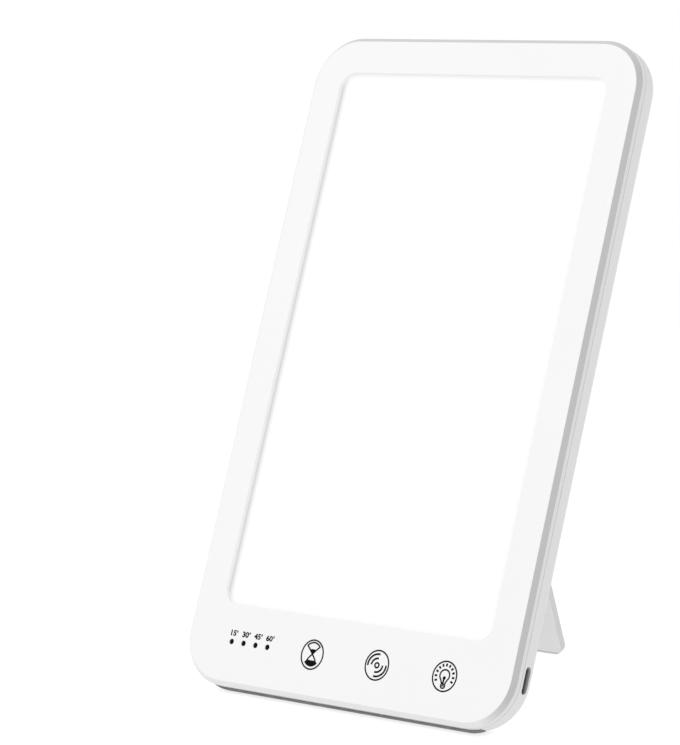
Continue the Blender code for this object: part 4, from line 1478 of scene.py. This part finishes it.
def build_floor(settings):
    """A pale floor disc that keeps the shadow near the case and fades to white away from it."""
    form = bmesh.new()
    bmesh.ops.create_circle(form, cap_ends=True, radius=FLOOR_RADIUS, segments=FLOOR_STEPS)
    mesh = bpy.data.meshes.new("studio_floor")
    form.to_mesh(mesh)
    form.free()
    floor = add_to_scene("studio_floor", mesh)
    floor.location.z = -FLOOR_DROP
    material = bpy.data.materials.new("studio_floor")
    material.use_nodes = True
    tree = material.node_tree
    tree.nodes.clear()
    levels = {"To Min": settings.floor_lift, "To Max": settings.floor_lift + settings.floor_whiteness}
    strength = add_node(tree, "MapRange", {**levels, "Value": seen_rays(tree)}, "Result")
    lift = add_node(tree, "Emission", {"Strength": strength})
    diffuse = add_node(tree, "BsdfDiffuse", {"Color": (*settings.floor_colour, 1)})
    near = add_node(tree, "AddShader", {0: diffuse, 1: lift})
    place = add_node(tree, "TexCoord", output="Object")
    distance = add_node(tree, "VectorMath", {0: place}, "Value", operation="LENGTH")
    reach = {"From Min": FLOOR_FADE_START, "From Max": FLOOR_FADE_END, "Value": distance}
    spread = add_node(tree, "MapRange", reach, "Result", interpolation_type="SMOOTHSTEP")
    share = add_node(tree, "Math", {0: spread, 1: seen_rays(tree)}, operation="MULTIPLY")
    mixed = add_node(tree, "MixShader", {"Fac": share, 1: near, 2: add_node(tree, "Emission")})
    fill(tree, tree.nodes.new("ShaderNodeOutputMaterial").inputs["Surface"], mixed)
    mesh.materials.append(material)


def build_daylight(strength):
    """Even light from all round, against a white backdrop."""
    world = bpy.data.worlds.new("studio")
    bpy.context.scene.world = world
    world.use_nodes = True
    tree = world.node_tree
    tree.nodes.clear()
    even, white = (
        add_node(tree, "Background", {"Color": (1, 1, 1, 1), "Strength": level}) for level in (strength, 1)
    )
    mixed = add_node(tree, "MixShader", {"Fac": seen_rays(tree), 1: even, 2: white})
    fill(tree, tree.nodes.new("ShaderNodeOutputWorld").inputs["Surface"], mixed)


def build_camera():
    """The camera as it stood for the photograph."""
    forward = Vector((
        -math.sin(VIEW_AZIMUTH) * math.cos(VIEW_ELEVATION),
        math.cos(VIEW_AZIMUTH) * math.cos(VIEW_ELEVATION),
        -math.sin(VIEW_ELEVATION),
    ))
    level = forward.cross(Vector((0, 0, 1))).normalized()
    upright = level.cross(forward)
    right = level * math.cos(VIEW_ROLL) - upright * math.sin(VIEW_ROLL)
    up = upright * math.cos(VIEW_ROLL) + level * math.sin(VIEW_ROLL)
    data = bpy.data.cameras.new("camera")
    data.sensor_width = SENSOR_WIDTH
    data.lens = SENSOR_WIDTH * FOCAL_PIXELS / IMAGE_LONG_SIDE
    camera = add_to_scene("camera", data)
    turn = Matrix((right, up, -forward)).transposed().to_4x4()
    camera.matrix_world = Matrix.Translation(VIEW_AIM - forward * VIEW_DISTANCE) @ turn
    bpy.context.scene.camera = camera


class LAMP_OT_bezel(bpy.types.Operator):
    """Builds the front frame"""
    bl_idname = "lamp.bezel"
    bl_label = "Front Bezel"

    def execute(self, context):
        build_bezel(context.scene.lamp_case)
        return {"FINISHED"}


class LAMP_OT_cover(bpy.types.Operator):
    """Builds the rear shell"""
    bl_idname = "lamp.cover"
    bl_label = "Rear Cover"

    def execute(self, context):
        build_cover(context.scene.lamp_case)
        return {"FINISHED"}


class LAMP_OT_window(bpy.types.Operator):
    """Builds the lit opal window"""
    bl_idname = "lamp.window"
    bl_label = "Window"

    def execute(self, context):
        build_window(context.scene.lamp_window)
        return {"FINISHED"}


class LAMP_OT_timer_lenses(bpy.types.Operator):
    """Builds the four timer lenses"""
    bl_idname = "lamp.timer_lenses"
    bl_label = "Timer Lenses"

    def execute(self, context):
        build_timer_lenses()
        return {"FINISHED"}


class LAMP_OT_signs(bpy.types.Operator):
    """Prints the touch signs and the minute numbers"""
    bl_idname = "lamp.signs"
    bl_label = "Signs"

    def execute(self, context):
        build_signs(context.scene.lamp_signs)
        return {"FINISHED"}


class LAMP_OT_port(bpy.types.Operator):
    """Builds the power socket"""
    bl_idname = "lamp.port"
    bl_label = "Power Socket"

    def execute(self, context):
        build_port()
        return {"FINISHED"}


class LAMP_OT_foot_strip(bpy.types.Operator):
    """Builds the rubber strip under the case"""
    bl_idname = "lamp.foot_strip"
    bl_label = "Foot Strip"

    def execute(self, context):
        build_foot_strip(context.scene.lamp_stand)
        return {"FINISHED"}


class LAMP_OT_stand(bpy.types.Operator):
    """Builds the fold-out stand and its sole"""
    bl_idname = "lamp.stand"
    bl_label = "Stand"

    def execute(self, context):
        build_stand(context.scene.lamp_stand)
        return {"FINISHED"}


class LAMP_OT_hinge(bpy.types.Operator):
    """Finishes the hinge pin and its washers"""
    bl_idname = "lamp.hinge"
    bl_label = "Hinge"

    def execute(self, context):
        build_hinge()
        return {"FINISHED"}


class LAMP_OT_screws(bpy.types.Operator):
    """Builds the screws"""
    bl_idname = "lamp.screws"
    bl_label = "Screws"

    def execute(self, context):
        build_screws()
        return {"FINISHED"}


class LAMP_OT_light_stack(bpy.types.Operator):
    """Finishes the layers behind the window and the light strips"""
    bl_idname = "lamp.light_stack"
    bl_label = "Light Stack"

    def execute(self, context):
        build_light_stack()
        return {"FINISHED"}


class LAMP_OT_board(bpy.types.Operator):
    """Finishes the control board and the sensor pads"""
    bl_idname = "lamp.board"
    bl_label = "Control Board"

    def execute(self, context):
        build_board()
        return {"FINISHED"}


class LAMP_OT_stage(bpy.types.Operator):
    """Sets the floor, the light and the camera"""
    bl_idname = "lamp.stage"
    bl_label = "Stage"

    def execute(self, context):
        settings = context.scene.lamp_stage
        build_floor(settings)
        build_daylight(settings.daylight)
        add_lamp("key_light", KEY_PLACE, settings.key_power, KEY_SIZE)
        add_lamp("side_light", SIDE_PLACE, settings.side_power, SIDE_SIZE)
        build_camera()
        return {"FINISHED"}


SETTINGS = {
    "lamp_case": LampCaseSettings,
    "lamp_window": LampWindowSettings,
    "lamp_signs": LampSignSettings,
    "lamp_stand": LampStandSettings,
    "lamp_stage": LampStageSettings,
}
OPERATORS = (
    LAMP_OT_bezel,
    LAMP_OT_cover,
    LAMP_OT_window,
    LAMP_OT_timer_lenses,
    LAMP_OT_signs,
    LAMP_OT_port,
    LAMP_OT_foot_strip,
    LAMP_OT_stand,
    LAMP_OT_hinge,
    LAMP_OT_screws,
    LAMP_OT_light_stack,
    LAMP_OT_board,
    LAMP_OT_stage,
)


class LAMP_PT_panel(bpy.types.Panel):
    """Settings and steps of the lamp's finish"""
    bl_idname = "LAMP_PT_panel"
    bl_label = "Light Therapy Lamp"
    bl_space_type = "VIEW_3D"
    bl_region_type = "UI"
    bl_category = "Lamp"

    def draw(self, context):
        for group, kind in SETTINGS.items():
            box = self.layout.box()
            for name in kind.__annotations__:
                box.prop(getattr(context.scene, group), name)
        for operator in OPERATORS:
            self.layout.operator(operator.bl_idname)


def register():
    for kind in (*SETTINGS.values(), *OPERATORS, LAMP_PT_panel):
        bpy.utils.register_class(kind)
    for group, kind in SETTINGS.items():
        setattr(bpy.types.Scene, group, PointerProperty(type=kind))


def unregister():
    for group in SETTINGS:
        delattr(bpy.types.Scene, group)
    for kind in (LAMP_PT_panel, *reversed(OPERATORS), *reversed(SETTINGS.values())):
        bpy.utils.unregister_class(kind)


def main():
    register()
    for operator in OPERATORS:
        getattr(bpy.ops.lamp, operator.bl_idname.split(".")[1])()
    bpy.context.scene.view_settings.view_transform = "Standard"


if __name__ == "__main__":
    main()
